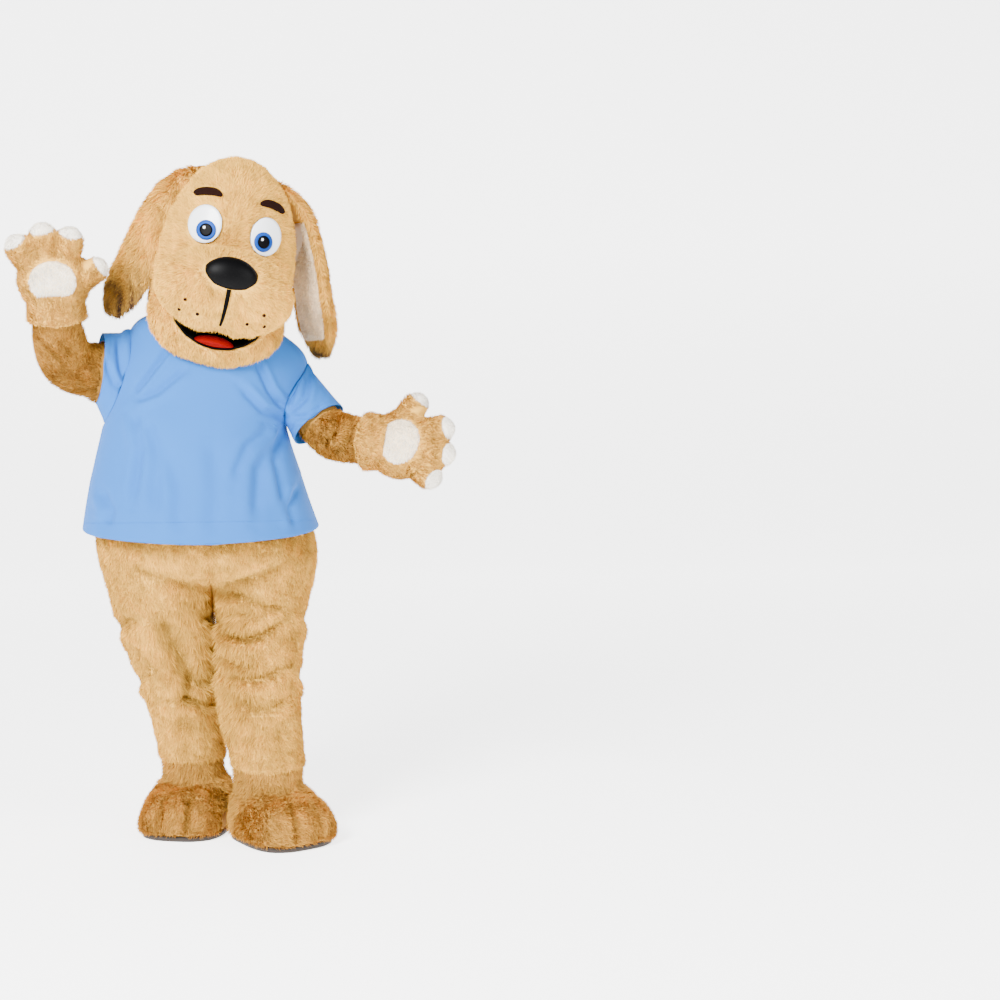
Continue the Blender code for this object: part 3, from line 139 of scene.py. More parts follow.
@dataclass(frozen=True)
class Finish:
    """A plain surface finish.

    Args:
        name: the material's name.
        colour: linear red, green, blue.
        rough: roughness from 0 to 1.
        sheen: strength of the cloth's soft rim.
        coat: strength of a clear coat.
        grain: height of the surface's grain in metres, 0 for none.
        grain_size: size of one grain in metres.
        mottle: share by which the colour varies from place to place.
        tinted: whether the mesh carries the colour.
        shine: strength of its plain reflection, 0.5 for most things.
        glow: light it gives off.
    """

    name: str
    colour: tuple
    rough: float = 0.8
    sheen: float = 0.0
    coat: float = 0.0
    grain: float = 0.0
    grain_size: float = 0.004
    mottle: float = 0.0
    tinted: bool = False
    shine: float = 0.5
    glow: float = 0.0

    def make(self) -> bpy.types.Material:
        """Builds the material.

        Returns:
            The material, with its nodes.
        """
        material = bpy.data.materials.new(self.name)
        material.use_nodes = True
        nodes, links = material.node_tree.nodes, material.node_tree.links
        shader = nodes["Principled BSDF"]
        look = {
            "Base Color": (*self.colour, 1.0),
            "Roughness": self.rough,
            "Sheen Weight": self.sheen,
            "Sheen Roughness": 0.5,
            "Specular IOR Level": self.shine,
            "Emission Color": BRIGHT,
            "Emission Strength": self.glow,
            "Coat Weight": self.coat,
            "Coat Roughness": 0.15,
        }
        fill(shader, look)
        if self.tinted:
            tint = nodes.new("ShaderNodeAttribute")
            tint.attribute_name = "tint"
            links.new(tint.outputs["Color"], shader.inputs["Base Color"])
        elif self.mottle:
            self.add_mottle(material.node_tree, shader)
        if self.grain:
            self.add_grain(material.node_tree, shader)
        return material

    @staticmethod
    def noise(tree: bpy.types.NodeTree, scale: float, detail: float) -> bpy.types.NodeSocket:
        """Soft noise over the object's own places."""
        place = tree.nodes.new("ShaderNodeTexCoord")
        noise = tree.nodes.new("ShaderNodeTexNoise")
        fill(noise, {"Scale": scale, "Detail": detail})
        tree.links.new(place.outputs["Object"], noise.inputs["Vector"])
        return noise.outputs["Fac"]

    def add_mottle(self, tree: bpy.types.NodeTree, shader: bpy.types.ShaderNode) -> None:
        """Lets the colour vary a little from place to place."""
        mix = tree.nodes.new("ShaderNodeMix")
        mix.data_type = "RGBA"
        dark = tuple(c * (1.0 - self.mottle) for c in self.colour)
        light = tuple(min(c * (1.0 + self.mottle), 1.0) for c in self.colour)
        fill(mix, {"A": (*dark, 1.0), "B": (*light, 1.0)})
        tree.links.new(self.noise(tree, MOTTLES_A_METRE, 4.0), mix.inputs["Factor"])
        tree.links.new(mix.outputs["Result"], shader.inputs["Base Color"])

    def add_grain(self, tree: bpy.types.NodeTree, shader: bpy.types.ShaderNode) -> None:
        """Roughens the surface with fine bumps."""
        bump = tree.nodes.new("ShaderNodeBump")
        fill(bump, {"Strength": 0.6, "Distance": self.grain})
        tree.links.new(self.noise(tree, 1.0 / self.grain_size, 3.0), bump.inputs["Height"])
        tree.links.new(bump.outputs["Normal"], shader.inputs["Normal"])


def fur(name: str, colour: tuple, mottle: float = 0.08) -> Finish:
    """The cloth that long pile stands on."""
    return Finish(name, colour, 0.95, grain=0.003, grain_size=0.006, mottle=mottle)


def short_fur(name: str, colour: tuple, mottle: float) -> Finish:
    """The cloth that short pile stands on."""
    return Finish(name, colour, 0.9, 0.35, grain=0.0015, grain_size=0.004, mottle=mottle)


MOTTLES_A_METRE = 22.0
BRIGHT = (1.0, 1.0, 1.0, 1.0)
TAN = (0.69, 0.37, 0.05)
LEG_TAN = (0.58, 0.308, 0.042)
ARM = (0.385, 0.18, 0.022)
MITT = (0.54, 0.285, 0.046)
SHOE = (0.48, 0.242, 0.036)
CREAM = (0.86, 0.7, 0.47)
WHITE = (0.9, 0.85, 0.76)
DARK_TIP = (0.06, 0.03, 0.018)
TEE_BLUE = (0.002, 0.122, 0.45)
BLACK = (0.001, 0.001, 0.001)

FINISHES = {
    "fur_tan": fur("plush_tan", TAN),
    "fur_deep": fur("plush_ochre", ARM),
    "fur_shoe": fur("plush_shoe", SHOE, 0.06),
    "fur_cream": short_fur("plush_cream", CREAM, 0.07),
    "fur_white": short_fur("plush_white", WHITE, 0.03),
    "tee_blue": Finish("cotton_blue", TEE_BLUE, 0.9, grain=0.0004, grain_size=0.0016),
    "nose_black": Finish(
        "satin_black", (0.001, 0.001, 0.0012), 0.45, shine=0.06, grain=0.0004, grain_size=0.002
    ),
    "mouth_black": Finish("felt_black", BLACK, 0.95, shine=0.05),
    "tongue_red": Finish("padded_red", (0.17, 0.0002, 0.0004), 0.75, shine=0.03),
    "eye_white": Finish("eye_white", (0.8, 0.83, 0.86), 0.35, coat=0.2),
    "iris_blue": Finish("eye_blue", (0.004, 0.05, 0.28), 0.4, shine=0.08),
    "pupil_black": Finish("eye_black", (0.0005, 0.0005, 0.001), 0.4, shine=0.04),
    "brow_brown": Finish(
        "felt_brown", (0.01, 0.003, 0.002), 0.95, shine=0.05, grain=0.001, grain_size=0.002
    ),
    "sole_dark": Finish("rubber_dark", (0.022, 0.015, 0.011), 0.75),
    "pile": Finish("pile", TAN, 0.85, tinted=True, shine=0.2),
}
BACKDROP = Finish("backdrop", (0.9, 0.9, 0.9), 0.95, shine=0.0, glow=3.0)


@cache
def finish(slot: str) -> bpy.types.Material:
    """The material of that slot, made once."""
    return FINISHES[slot].make()


# ---- shells


class Facing(Enum):
    """Which way a crease's cloth faces."""

    FRONT = (1, -1.0)
    BACK = (1, 1.0)
    RIGHT = (0, -1.0)
    LEFT = (0, 1.0)
    TOP = (2, 1.0)


@dataclass(frozen=True)
class Crease:
    """One soft trough with a ridge beside it.

    Args:
        path: points of its line: x or y across and z above the floor as seen from that side,
            or x and y as seen from the top.
        width: half its breadth in metres.
        depth: its depth in metres; a negative depth raises a ridge.
        ridge: height of the ridge beside it, as a share of its depth.
        facing: the side that it lies on.
    """

    path: tuple
    width: float
    depth: float
    ridge: float = 0.5
    facing: Facing = Facing.FRONT

    def push(self, points: np.ndarray, outward: np.ndarray) -> np.ndarray:
        """How far each point moves outward.

        Args:
            points: row-frame points.
            outward: unit directions out of the costume.

        Returns:
            One distance a point, in metres.
        """
        axis, sign = self.facing.value
        if self.facing is Facing.TOP:
            flat = points[:, :2]
        else:
            flat = np.stack([points[:, 1 - axis], points[:, 2] + HOLD], axis=1)
        distance, spots, ways, runs = nearest_on(np.array(self.path, float), flat)
        gap = flat - spots
        signed = distance * np.sign(gap[:, 0] * ways[:, 1] - gap[:, 1] * ways[:, 0])
        share = runs / (len(self.path) - 1)
        ends = np.clip(np.minimum(share, 1.0 - share) * 6.0, 0.25, 1.0)
        trough = np.exp(-((signed / self.width) ** 2))
        beside = np.exp(-(((signed - 1.9 * self.width) / (1.1 * self.width)) ** 2))
        push = (-trough + self.ridge * beside) * self.depth * ends
        faces = outward[:, axis] * sign
        faces = faces + 0.8 if self.facing is Facing.TOP else faces * 2.2
        return push * np.clip(faces, 0.0, 1.0)


def folds(facing: Facing, *rows) -> list:
    """Creases that lie on one side of the costume.

    Args:
        facing: that side.
        rows: each crease's path, half breadth and depth, and its ridge where that isn't a half.

    Returns:
        The creases, in the same order.
    """
    return [Crease(*values, facing=facing) for values in rows]


@dataclass
class Shell:
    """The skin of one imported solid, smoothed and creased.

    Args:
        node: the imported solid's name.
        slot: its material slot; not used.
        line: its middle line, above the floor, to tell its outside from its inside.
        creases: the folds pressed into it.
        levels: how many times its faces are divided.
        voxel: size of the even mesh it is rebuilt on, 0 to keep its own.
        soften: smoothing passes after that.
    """

    node: str
    slot: str
    line: tuple
    creases: tuple | list = ()
    levels: int = 2
    voxel: float = 0.0
    soften: int = 0
    obj: bpy.types.Object | None = None
    points: np.ndarray | None = None
    normals: np.ndarray | None = None
    faces: np.ndarray | None = None
    outward: np.ndarray | None = None
    pushes: np.ndarray | None = None

    def nearest(self, at: np.ndarray) -> tuple:
        """The nearest place on the middle line to each point, and the line's direction there."""
        line = row(self.line)
        if len(line) == 1:
            return np.repeat(line, len(at), axis=0), np.tile([0.0, 0.0, -1.0], (len(at), 1))
        _, spots, ways, _ = nearest_on(line, at)
        return spots, unit(ways)

    def base(self, source) -> bpy.types.Object:
        """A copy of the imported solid, joined up into quads."""
        bm = bmesh.new()
        bm.from_mesh(source.data)
        bm.transform(source.matrix_world)
        bmesh.ops.remove_doubles(bm, verts=bm.verts, dist=1e-5)
        bmesh.ops.join_triangles(
            bm, faces=bm.faces, angle_face_threshold=0.7, angle_shape_threshold=0.9
        )
        crease = bm.edges.layers.float.new("crease_edge")
        for edge in bm.edges:
            if len(edge.link_faces) == 2 and edge.calc_face_angle(0.0) > 0.9:
                edge[crease] = 1.0
        return show(self.node + "_base", mesh_from(bm, self.node + "_base"))

    def smoothed(self, base: bpy.types.Object) -> bpy.types.Mesh:
        """The base's mesh, rebuilt evenly or divided, and the base removed."""
        if self.voxel:
            remesh = base.modifiers.new("even", "REMESH")
            remesh.mode = "VOXEL"
            remesh.voxel_size = self.voxel
            smooth = base.modifiers.new("soft", "SMOOTH")
            smooth.factor = 0.5
            smooth.iterations = self.soften
        else:
            divide = base.modifiers.new("divide", "SUBSURF")
            divide.levels = divide.render_levels = self.levels
        graph = bpy.context.evaluated_depsgraph_get()
        mesh = bpy.data.meshes.new_from_object(base.evaluated_get(graph))
        bpy.data.objects.remove(base)
        mesh.name = self.node + "_shell"
        return mesh

    def build(self, source: bpy.types.Object, material: bpy.types.Material) -> None:
        """Makes the shell's own mesh and replaces the solid with it.

        Args:
            source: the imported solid.
            material: its finish.
        """
        mesh = self.smoothed(self.base(source))
        self.points = vertex_vectors(mesh, "co")
        normals = vertex_vectors(mesh, "normal")
        middle, _ = self.nearest(self.points)
        self.outward = ((self.points - middle) * normals).sum(1) > 0
        self.pushes = np.zeros(len(self.points))
        if self.creases:
            out = np.where(self.outward[:, None], normals, -normals)
            self.pushes = sum(crease.push(self.points, out) for crease in self.creases)
            self.points = self.points + out * self.pushes[:, None]
            mesh.vertices.foreach_set("co", self.points.astype(np.float32).ravel())
        mesh.polygons.foreach_set("use_smooth", np.ones(len(mesh.polygons), bool))
        mesh.materials.clear()
        mesh.materials.append(material)
        mesh.update()
        self.obj = show("skin_" + self.node, mesh)
        self.normals = vertex_vectors(mesh, "normal")
        mesh.calc_loop_triangles()
        faces = np.empty(len(mesh.loop_triangles) * 3, np.int32)
        mesh.loop_triangles.foreach_get("vertices", faces)
        self.faces = faces.reshape(-1, 3)
        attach(self.obj, "root")
        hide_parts(self.node)
        log.info("%s: %d triangles", self.obj.name, len(self.faces))


# ---- pile


class Nap(Enum):
    """Which way the pile of a piece lies."""

    DOWN = "down"
    SPINE = "along its middle line"
    FACE = "away from the nose, then down"


@dataclass(frozen=True)
class Pile:
    """The pile of one piece.

    Args:
        colour: linear colour of its middle.
        per_m2: strands a square metre.
        length: strand length in metres.
        width: half the breadth of a strand at its root.
        lift: how far it stands off the cloth, against lying along it.
        nap: which way it lies.
        vary: share by which strands differ in shade.
        meets: whether it is longer where the two legs face each other.
        top: share by which it is painted lighter where it faces up, as painted light from above.
    """

    colour: tuple
    per_m2: float = 165000.0
    length: float = 0.018
    width: float = 0.0015
    lift: float = 0.75
    nap: Nap = Nap.DOWN
    vary: float = 0.22
    meets: bool = False
    top: float = 0.0


NOSE_AT = row((-0.03, -0.36, 1.600))
SMOOTH_PIECES = (
    "eye_white", "brow", "nose", "whisker_dot", "muzzle_line", "mouth_lining", "tongue",
    "palm_pad", "finger_cap", "ear_lining",
)
LOWEST = 0.0015 - HOLD  # no strand reaches below this height
COVER_REACH = 0.030  # cloth with another piece this near outside it grows no pile
TRIM_REACH = 0.014  # strands are cut shorter within this distance of a smooth piece
LEGS_PART = (-0.035, 0.50, 0.24)  # x where the legs face each other, and the middle and half height
MEET_MORE = 1.7  # share by which the pile is longer there
SWIRL = (3.1, 0.045, 0.22)  # wide bends of the pile: offset between axes, size and strength
TUFT = (5.7, 0.014, 0.26)  # and the narrow ones
# each strand is painted darker at its root, as painted shade deep in the pile, and lighter at its
# tip, as painted light
ROOT_PAINTED_SHADE, TIP_PAINTED_LIGHT = 0.86, 1.12


@dataclass
class Roots:
    """Where the strands of one piece stand.

    Args:
        faces: the corners of the shell's face under each strand.
        share: each strand's shares of those three corners.
        at: their places.
        normal: the cloth's normals there.
    """

    faces: np.ndarray
    share: np.ndarray
    at: np.ndarray
    normal: np.ndarray


class PileMaker:
    """Grows the pile of shells as meshes of single-triangle strands."""

    def __init__(self, frame: dict) -> None:
        self.rng = np.random.default_rng(20240611)
        self.waves = self.rng.normal(0.0, 1.0, (10, 3))
        self.phases = self.rng.uniform(0.0, 6.28, 10)
        self.owners = []
        everything, smooth = ([], []), ([], [])
        for name, node in frame["nodes"].items():
            self.add(node, *everything)
            self.owners.extend([name] * len(node.data.polygons))
            if name.startswith(SMOOTH_PIECES):
                self.add(node, *smooth)
        self.tree = BVHTree.FromPolygons(*everything)
        self.smooth_tree = BVHTree.FromPolygons(*smooth)

    @staticmethod
    def add(node: bpy.types.Object, points: list, faces: list) -> None:
        """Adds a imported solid's points and faces to those two lists."""
        start = len(points)
        points.extend(node.matrix_world @ v.co for v in node.data.vertices)
        faces.extend(tuple(start + i for i in p.vertices) for p in node.data.polygons)

    def patchy(self, at: np.ndarray, size: float) -> np.ndarray:
        """Soft noise, mostly from -1 to 1, over places that size."""
        waves = self.waves * (2.2 / size)
        return np.sin(at @ waves.T + self.phases).sum(1) / 4.0

    def bends(self, at: np.ndarray, kind: tuple) -> np.ndarray:
        """Soft sideways bends of one kind, as a direction for each place."""
        apart, size, strength = kind
        return np.stack([self.patchy(at + k * apart, size) for k in range(3)], axis=1) * strength

    def covered(self, node: str, at: np.ndarray, out: np.ndarray) -> bool:
        """Whether another piece covers that place of this one."""
        reach = COVER_REACH
        way = Vector(out)
        start = Vector(at) - way * 0.002
        for _ in range(6):
            _, _, index, distance = self.tree.ray_cast(start, way, reach)
            if index is None:
                return False
            if self.owners[index] != node:
                return True
            start = start + way * (distance + 0.0005)
            reach -= distance + 0.0005
            if reach <= 0:
                return False
        return False

    def trimmed(self, root: np.ndarray, shell: Shell) -> np.ndarray:
        """The share of its length that each strand keeps beside the smooth pieces."""
        share = np.ones(len(root))
        if shell.node.startswith(SMOOTH_PIECES):
            return share
        low, high = shell.points.min(axis=0), shell.points.max(axis=0)
        middle = (low + high) / 2
        reach = float(np.linalg.norm(high - low)) / 2 + 0.03
        if self.smooth_tree.find_nearest(Vector(middle), reach)[0] is None:
            return share
        for i, at in enumerate(root):
            distance = self.smooth_tree.find_nearest(Vector(at), TRIM_REACH)[3]
            if distance is not None:
                share[i] = 0.25 + 0.75 * distance / TRIM_REACH
        return share

    def naps(self, pile: Pile, shell: Shell, at: np.ndarray) -> np.ndarray:
        """The direction the pile lies at each place, before it is laid on the cloth."""
        down = np.tile([0.0, 0.0, -1.0], (len(at), 1))
        if pile.nap is Nap.DOWN:
            return down
        if pile.nap is Nap.SPINE:
            return shell.nearest(at)[1]
        away = unit(at - NOSE_AT)
        return unit(away + down * 0.35)

    def scatter(self, shell: Shell, per_m2: float) -> Roots | None:
        """Strews roots over the outside of a shell, where nothing covers it.

        Args:
            shell: the built shell.
            per_m2: roots a square metre.

        Returns:
            The roots, or None where the whole shell is covered.
        """
        tri = shell.points[shell.faces]
        cross = np.cross(tri[:, 1] - tri[:, 0], tri[:, 2] - tri[:, 0])
        area = np.linalg.norm(cross, axis=1) / 2
        centre, out = tri.mean(axis=1), unit(cross)
        use = shell.outward[shell.faces].all(axis=1) & (area > 1e-9)
        kept = [i for i in np.flatnonzero(use) if not self.covered(shell.node, centre[i], out[i])]
        if not kept:
            return None
        total = area[kept].sum()
        count = int(total * per_m2)
        pick = np.array(kept)[self.rng.choice(len(kept), count, p=area[kept] / total)]
        uv = self.rng.random((count, 2))
        uv = np.where(uv.sum(1, keepdims=True) > 1, 1 - uv, uv)
        share = np.stack([1 - uv.sum(1), uv[:, 0], uv[:, 1]], axis=1)
        at = (tri[pick] * share[:, :, None]).sum(1)
        faces = shell.faces[pick]
        normal = unit((shell.normals[faces] * share[:, :, None]).sum(1))
        return Roots(faces, share, at, normal)

    def lean(self, shell: Shell, pile: Pile, roots: Roots) -> np.ndarray:
        """The direction that each strand stands in."""
        nap = self.naps(pile, shell, roots.at)
        lay = unit(nap - roots.normal * (nap * roots.normal).sum(1, keepdims=True))
        lay = lay + self.bends(roots.at, SWIRL) + self.bends(roots.at, TUFT)
        lay = unit(lay + self.rng.normal(0, 0.14, lay.shape))
        lift = pile.lift * (1.0 + 0.22 * self.patchy(roots.at, 0.022)[:, None])
        return unit(lay + roots.normal * lift + self.rng.normal(0, 0.10, lay.shape))

    def lengths(self, shell: Shell, pile: Pile, roots: Roots) -> np.ndarray:
        """The length of each strand, as a column."""
        length = pile.length * self.rng.uniform(0.65, 1.25, (len(roots.at), 1))
        length = length * self.trimmed(roots.at, shell)[:, None]
        if pile.meets:
            part, middle, half = LEGS_PART
            inward = np.where(roots.at[:, 0] > part, -roots.normal[:, 0], roots.normal[:, 0])
            near = 1.0 - np.abs(roots.at[:, 2] + HOLD - middle) / half
            near = np.clip(near * 3.0, 0.0, 1.0)
            length = length * (1.0 + MEET_MORE * np.clip(inward * near, 0.0, 1.0))[:, None]
        return length

    def shades(self, shell: Shell, pile: Pile, roots: Roots) -> np.ndarray:
        """How light each strand is against its colour, as a column, with painted light on top and
        painted shade in creases.
        """
        shade = 1.0 + pile.vary * self.rng.normal(0, 0.55, (len(roots.at), 1))
        shade = shade * (1.0 + 0.10 * self.patchy(roots.at, 0.08)[:, None])
        shade = shade * (1.0 + 0.12 * self.patchy(roots.at, 0.018)[:, None])
        # painted light: strands on cloth that faces up are painted lighter
        shade = shade * (1.0 + pile.top * np.clip(roots.normal[:, 2:], 0.0, 1.0))
        # painted shade: strands in a crease's trough are painted darker, those on its ridge a little
        # lighter
        sunk = (shell.pushes[roots.faces] * roots.share).sum(1)[:, None]
        return np.clip(shade * np.clip(1.0 + sunk * 16.0, 0.70, 1.08), 0.4, 1.6)

    def grow(self, shell: Shell, pile: Pile, tint=None) -> None:
        """Grows the pile of one shell, as one mesh object.

        Args:
            shell: the built shell.
            pile: its pile.
            tint: a function from places to colours, where the piece has more than one.
        """
        roots = self.scatter(shell, pile.per_m2)
        if roots is None:
            return
        lean = self.lean(shell, pile, roots)
        length = self.lengths(shell, pile, roots)
        width = pile.width * self.rng.uniform(0.7, 1.3, length.shape)
        side = unit(np.cross(roots.normal, lean))
        roll = self.rng.normal(0, 0.7, length.shape)
        side = (side * np.cos(roll) + np.cross(lean, side) * np.sin(roll)) * width
        roots.at = roots.at - roots.normal * 0.0008
        tip = roots.at + lean * length
        tip[:, 2] = np.maximum(tip[:, 2], LOWEST)
        verts = np.stack([roots.at + side, roots.at - side, tip], axis=1)
        colour = np.array(pile.colour)[None, :] if tint is None else tint(roots.at)
        shade = self.shades(shell, pile, roots)
        tints = np.ones((len(verts), 3, 4))
        # painted shade at the roots, painted light at the tips
        tints[:, :2, :3] = (colour * shade * ROOT_PAINTED_SHADE)[:, None, :]
        tints[:, 2, :3] = colour * shade * TIP_PAINTED_LIGHT
        self.mesh_of(shell, verts, tints)

    def mesh_of(self, shell: Shell, verts: np.ndarray, tints: np.ndarray) -> None:
        """Builds the strands' object from their corners and the corners' colours."""
        count = len(verts)
        mesh = bpy.data.meshes.new("pile_" + shell.node)
        mesh.vertices.add(count * 3)
        mesh.vertices.foreach_set("co", verts.astype(np.float32).ravel())
        mesh.loops.add(count * 3)
        mesh.loops.foreach_set("vertex_index", np.arange(count * 3, dtype=np.int32))
        mesh.polygons.add(count)
        mesh.polygons.foreach_set("loop_start", np.arange(0, count * 3, 3, dtype=np.int32))
        mesh.update()
        layer = mesh.color_attributes.new("tint", "FLOAT_COLOR", "POINT")
        layer.data.foreach_set("color", tints.astype(np.float32).ravel())
        mesh.materials.append(finish("pile"))
        obj = show("pile_" + shell.node, mesh)
        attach(obj, "root")
        log.info("%s: %d strands", obj.name, count)


# ---- small pieces


STITCH, STITCH_PITCH = 0.0030, 0.0045  # length of a stitch, and from one to the next
SLEEVE_HEM = 0.022  # how far the stitches lie from the end of a sleeve
SEAM_REACH = 0.60  # no garment is wider than this from the middle of its hem


def piece(bm: bmesh.types.BMesh, name: str, slot: str) -> None:
    """Turns a finished bmesh into a shown piece."""
    mesh = mesh_from(bm, name)
    mesh.polygons.foreach_set("use_smooth", np.ones(len(mesh.polygons), bool))
    mesh.materials.append(finish(slot))
    obj = show(name, mesh)
    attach(obj, "root")
    log.info("%s: %d faces", name, len(mesh.polygons))


def bar(bm, start, end, out, radius: float) -> None:
    """Adds one short bar from start to end, lying on a surface that faces out."""
    across = unit(np.cross(out, end - start))
    along = unit(end - start)
    turn = Matrix(np.stack([across, np.cross(along, across), along], axis=1)).to_4x4()
    bmesh.ops.create_cone(
        bm,
        cap_ends=True,
        segments=4,
        radius1=radius,
        radius2=radius,
        depth=float(np.linalg.norm(end - start)),
        matrix=Matrix.Translation(Vector((start + end) / 2)) @ turn,
    )


def sewing_line(tree: BVHTree, plane: tuple) -> tuple:
    """Where a plane cuts the outside of a garment.

    Args:
        tree: the garment's faces.
        plane: its centre, normal and first direction, in the row's frame.

    Returns:
        The points all round, and the directions out of the cloth there.
    """
    centre, normal, first = plane
    normal = unit(np.array(normal, float))
    side = unit(np.array(first, float) - normal * np.dot(first, normal))
    other = np.cross(normal, side)
    path, outs = [], []
    for turn in np.linspace(0.0, 2.0 * math.pi, 361):
        way = side * math.cos(turn) + other * math.sin(turn)
        far = Vector(np.array(centre) + way * SEAM_REACH)
        spot, out, _, _ = tree.ray_cast(far, Vector(-way), SEAM_REACH)
        if spot is not None:
            path.append(np.array(spot))
            outs.append(np.array(out) * (1.0 if np.dot(out, way) > 0 else -1.0))
    return np.array(path), np.array(outs)


def stitches(name: str, shells: list, plane: tuple) -> None:
    """A row of stitches where a plane cuts a garment, as one mesh.

    Args:
        name: the piece's name.
        shells: the shells it is sewn on.
        plane: its centre, normal and first direction, in the row's frame.
    """
    points, faces = [], []
    for shell in shells:
        start = len(points)
        points.extend(shell.points.tolist())
        faces.extend((shell.faces + start).tolist())
    path, outs = sewing_line(BVHTree.FromPolygons(points, faces), plane)
    steps = np.linalg.norm(np.diff(path, axis=0), axis=1)
    run = np.concatenate([[0.0], np.cumsum(steps)])

    def along(values: np.ndarray, at: float) -> np.ndarray:
        """The values that far along the line."""
        return np.array([np.interp(at, run, values[:, k]) for k in range(3)])

    bm = bmesh.new()
    for at in np.arange(0.0, run[-1] - STITCH, STITCH_PITCH):
        start, end = along(path, at), along(path, at + STITCH)
        if np.linalg.norm(end - start) > STITCH * 1.5:
            continue
        out = unit(along(outs, at))
        bar(bm, start + out * 0.0003, end + out * 0.0003, out, 0.0005)
    piece(bm, name, "tee_blue")


def flat_piece(shell: Shell) -> tuple:
    """A flat piece's centre, its two long axes and its direction out of the face."""
    centre = shell.points.mean(axis=0)
    _, _, axes = np.linalg.svd(shell.points - centre, full_matrices=False)
    return centre, axes[:2], axes[2] * (1.0 if axes[2][1] < 0 else -1.0)


def rim(name: str, shell: Shell, radius: float) -> None:
    """A thin dark cord round the outline of an eye."""
    centre, axes, out = flat_piece(shell)
    flat = (shell.points - centre) @ axes.T
    angle = np.arctan2(flat[:, 1], flat[:, 0])
    reach = np.linalg.norm(flat, axis=1)
    path = []
    for turn in np.linspace(-math.pi, math.pi, 48, endpoint=False):
        gap = np.abs((angle - turn + math.pi) % (2 * math.pi) - math.pi)
        near = np.flatnonzero(gap < 0.16)
        top = near[np.argsort(reach[near])[-3:]]
        path.append(shell.points[top].mean(axis=0))
    path = np.array(path)
    for _ in range(3):
        path = (np.roll(path, 1, axis=0) + 2 * path + np.roll(path, -1, axis=0)) / 4
    bm = bmesh.new()
    rings = []
    for i, at in enumerate(path):
        along = unit(path[(i + 1) % len(path)] - path[i - 1])
        across = unit(np.cross(along, out))
        ring = []
        for turn in range(6):
            a = turn * math.pi / 3
            ring.append(bm.verts.new(at + (across * math.cos(a) + out * math.sin(a)) * radius))
        rings.append(ring)
    for i, ring in enumerate(rings):
        after = rings[(i + 1) % len(rings)]
        for k in range(6):
            bm.faces.new((ring[k], ring[(k + 1) % 6], after[(k + 1) % 6], after[k]))
    piece(bm, name, "mouth_black")


def glint(name: str, shell: Shell, shift: tuple, radius: float) -> None:
    """A small white disc on a pupil, a painted highlight."""
    centre, _, out = flat_piece(shell)
    front = ((shell.points - centre) @ out).max()
    at = centre + np.array([shift[0], 0.0, shift[1]])
    at = at + out * (front - np.dot(at - centre, out) - radius * 0.1)
    bm = bmesh.new()
    bmesh.ops.create_uvsphere(bm, u_segments=16, v_segments=8, radius=radius)
    for v in bm.verts:
        offset = np.array(v.co)
        v.co = Vector(at + offset - out * np.dot(offset, out) * 0.80)
    piece(bm, name, "eye_white")


# ---- middle lines

TRUNK_LINE = (
    (-0.004, 0.012, 1.49), (-0.022, 0.006, 1.38), (-0.048, 0.004, 1.3), (-0.086, 0.0, 1.18),
    (-0.088, -0.004, 1.05), (-0.074, -0.006, 0.92), (-0.062, -0.006, 0.8),
)
LEG_LINES = {
    "right": ((-0.18, 0.006, 0.72), (-0.192, 0.012, 0.66), (-0.172, 0.026, 0.54),
              (-0.146, 0.04, 0.4), (-0.123, 0.048, 0.29), (-0.112, 0.052, 0.205)),
    "left": ((0.08, -0.012, 0.72), (0.088, -0.022, 0.66), (0.084, -0.046, 0.54),
             (0.084, -0.072, 0.4), (0.093, -0.088, 0.29), (0.103, -0.098, 0.2)),
}
ARM_LINES = {
    "right": ((-0.24, 0.0, 1.308), (-0.32, -0.012, 1.326), (-0.388, -0.034, 1.33),
              (-0.436, -0.07, 1.35), (-0.456, -0.104, 1.404), (-0.46, -0.139, 1.482)),
    "left": ((0.184, 0.0, 1.258), (0.232, -0.024, 1.222), (0.261, -0.054, 1.178),
             (0.29, -0.096, 1.148), (0.332, -0.15, 1.137), (0.382, -0.187, 1.131)),
}
MITT_LINES = {
    "right": ((-0.459, -0.13, 1.46), (-0.462, -0.167, 1.574), (-0.467, -0.195, 1.66)),
    "left": ((0.382, -0.187, 1.131), (0.476, -0.236, 1.126), (0.56, -0.28, 1.122)),
}
SHOE_LINES = {
    "right": ((-0.106, 0.056, 0.23), (-0.106, 0.056, 0.07), (-0.152, -0.087, 0.045)),
    "left": ((0.108, -0.1, 0.23), (0.108, -0.1, 0.07), (0.183, -0.23, 0.045)),
}
HEAD_MIDDLE = ((-0.008, 0.0, 1.66),)
MUZZLE_MIDDLE = ((-0.03, -0.2, 1.54),)
JAW_MIDDLE = ((-0.03, -0.1, 1.48),)
TAIL_LINE = ((0.0, 0.18, 0.8), (0.0, 0.25, 0.7))
EAR_DARK = {"right": 0.15, "left": 0.03}  # how far up from its tip an ear is dark

# ---- folds

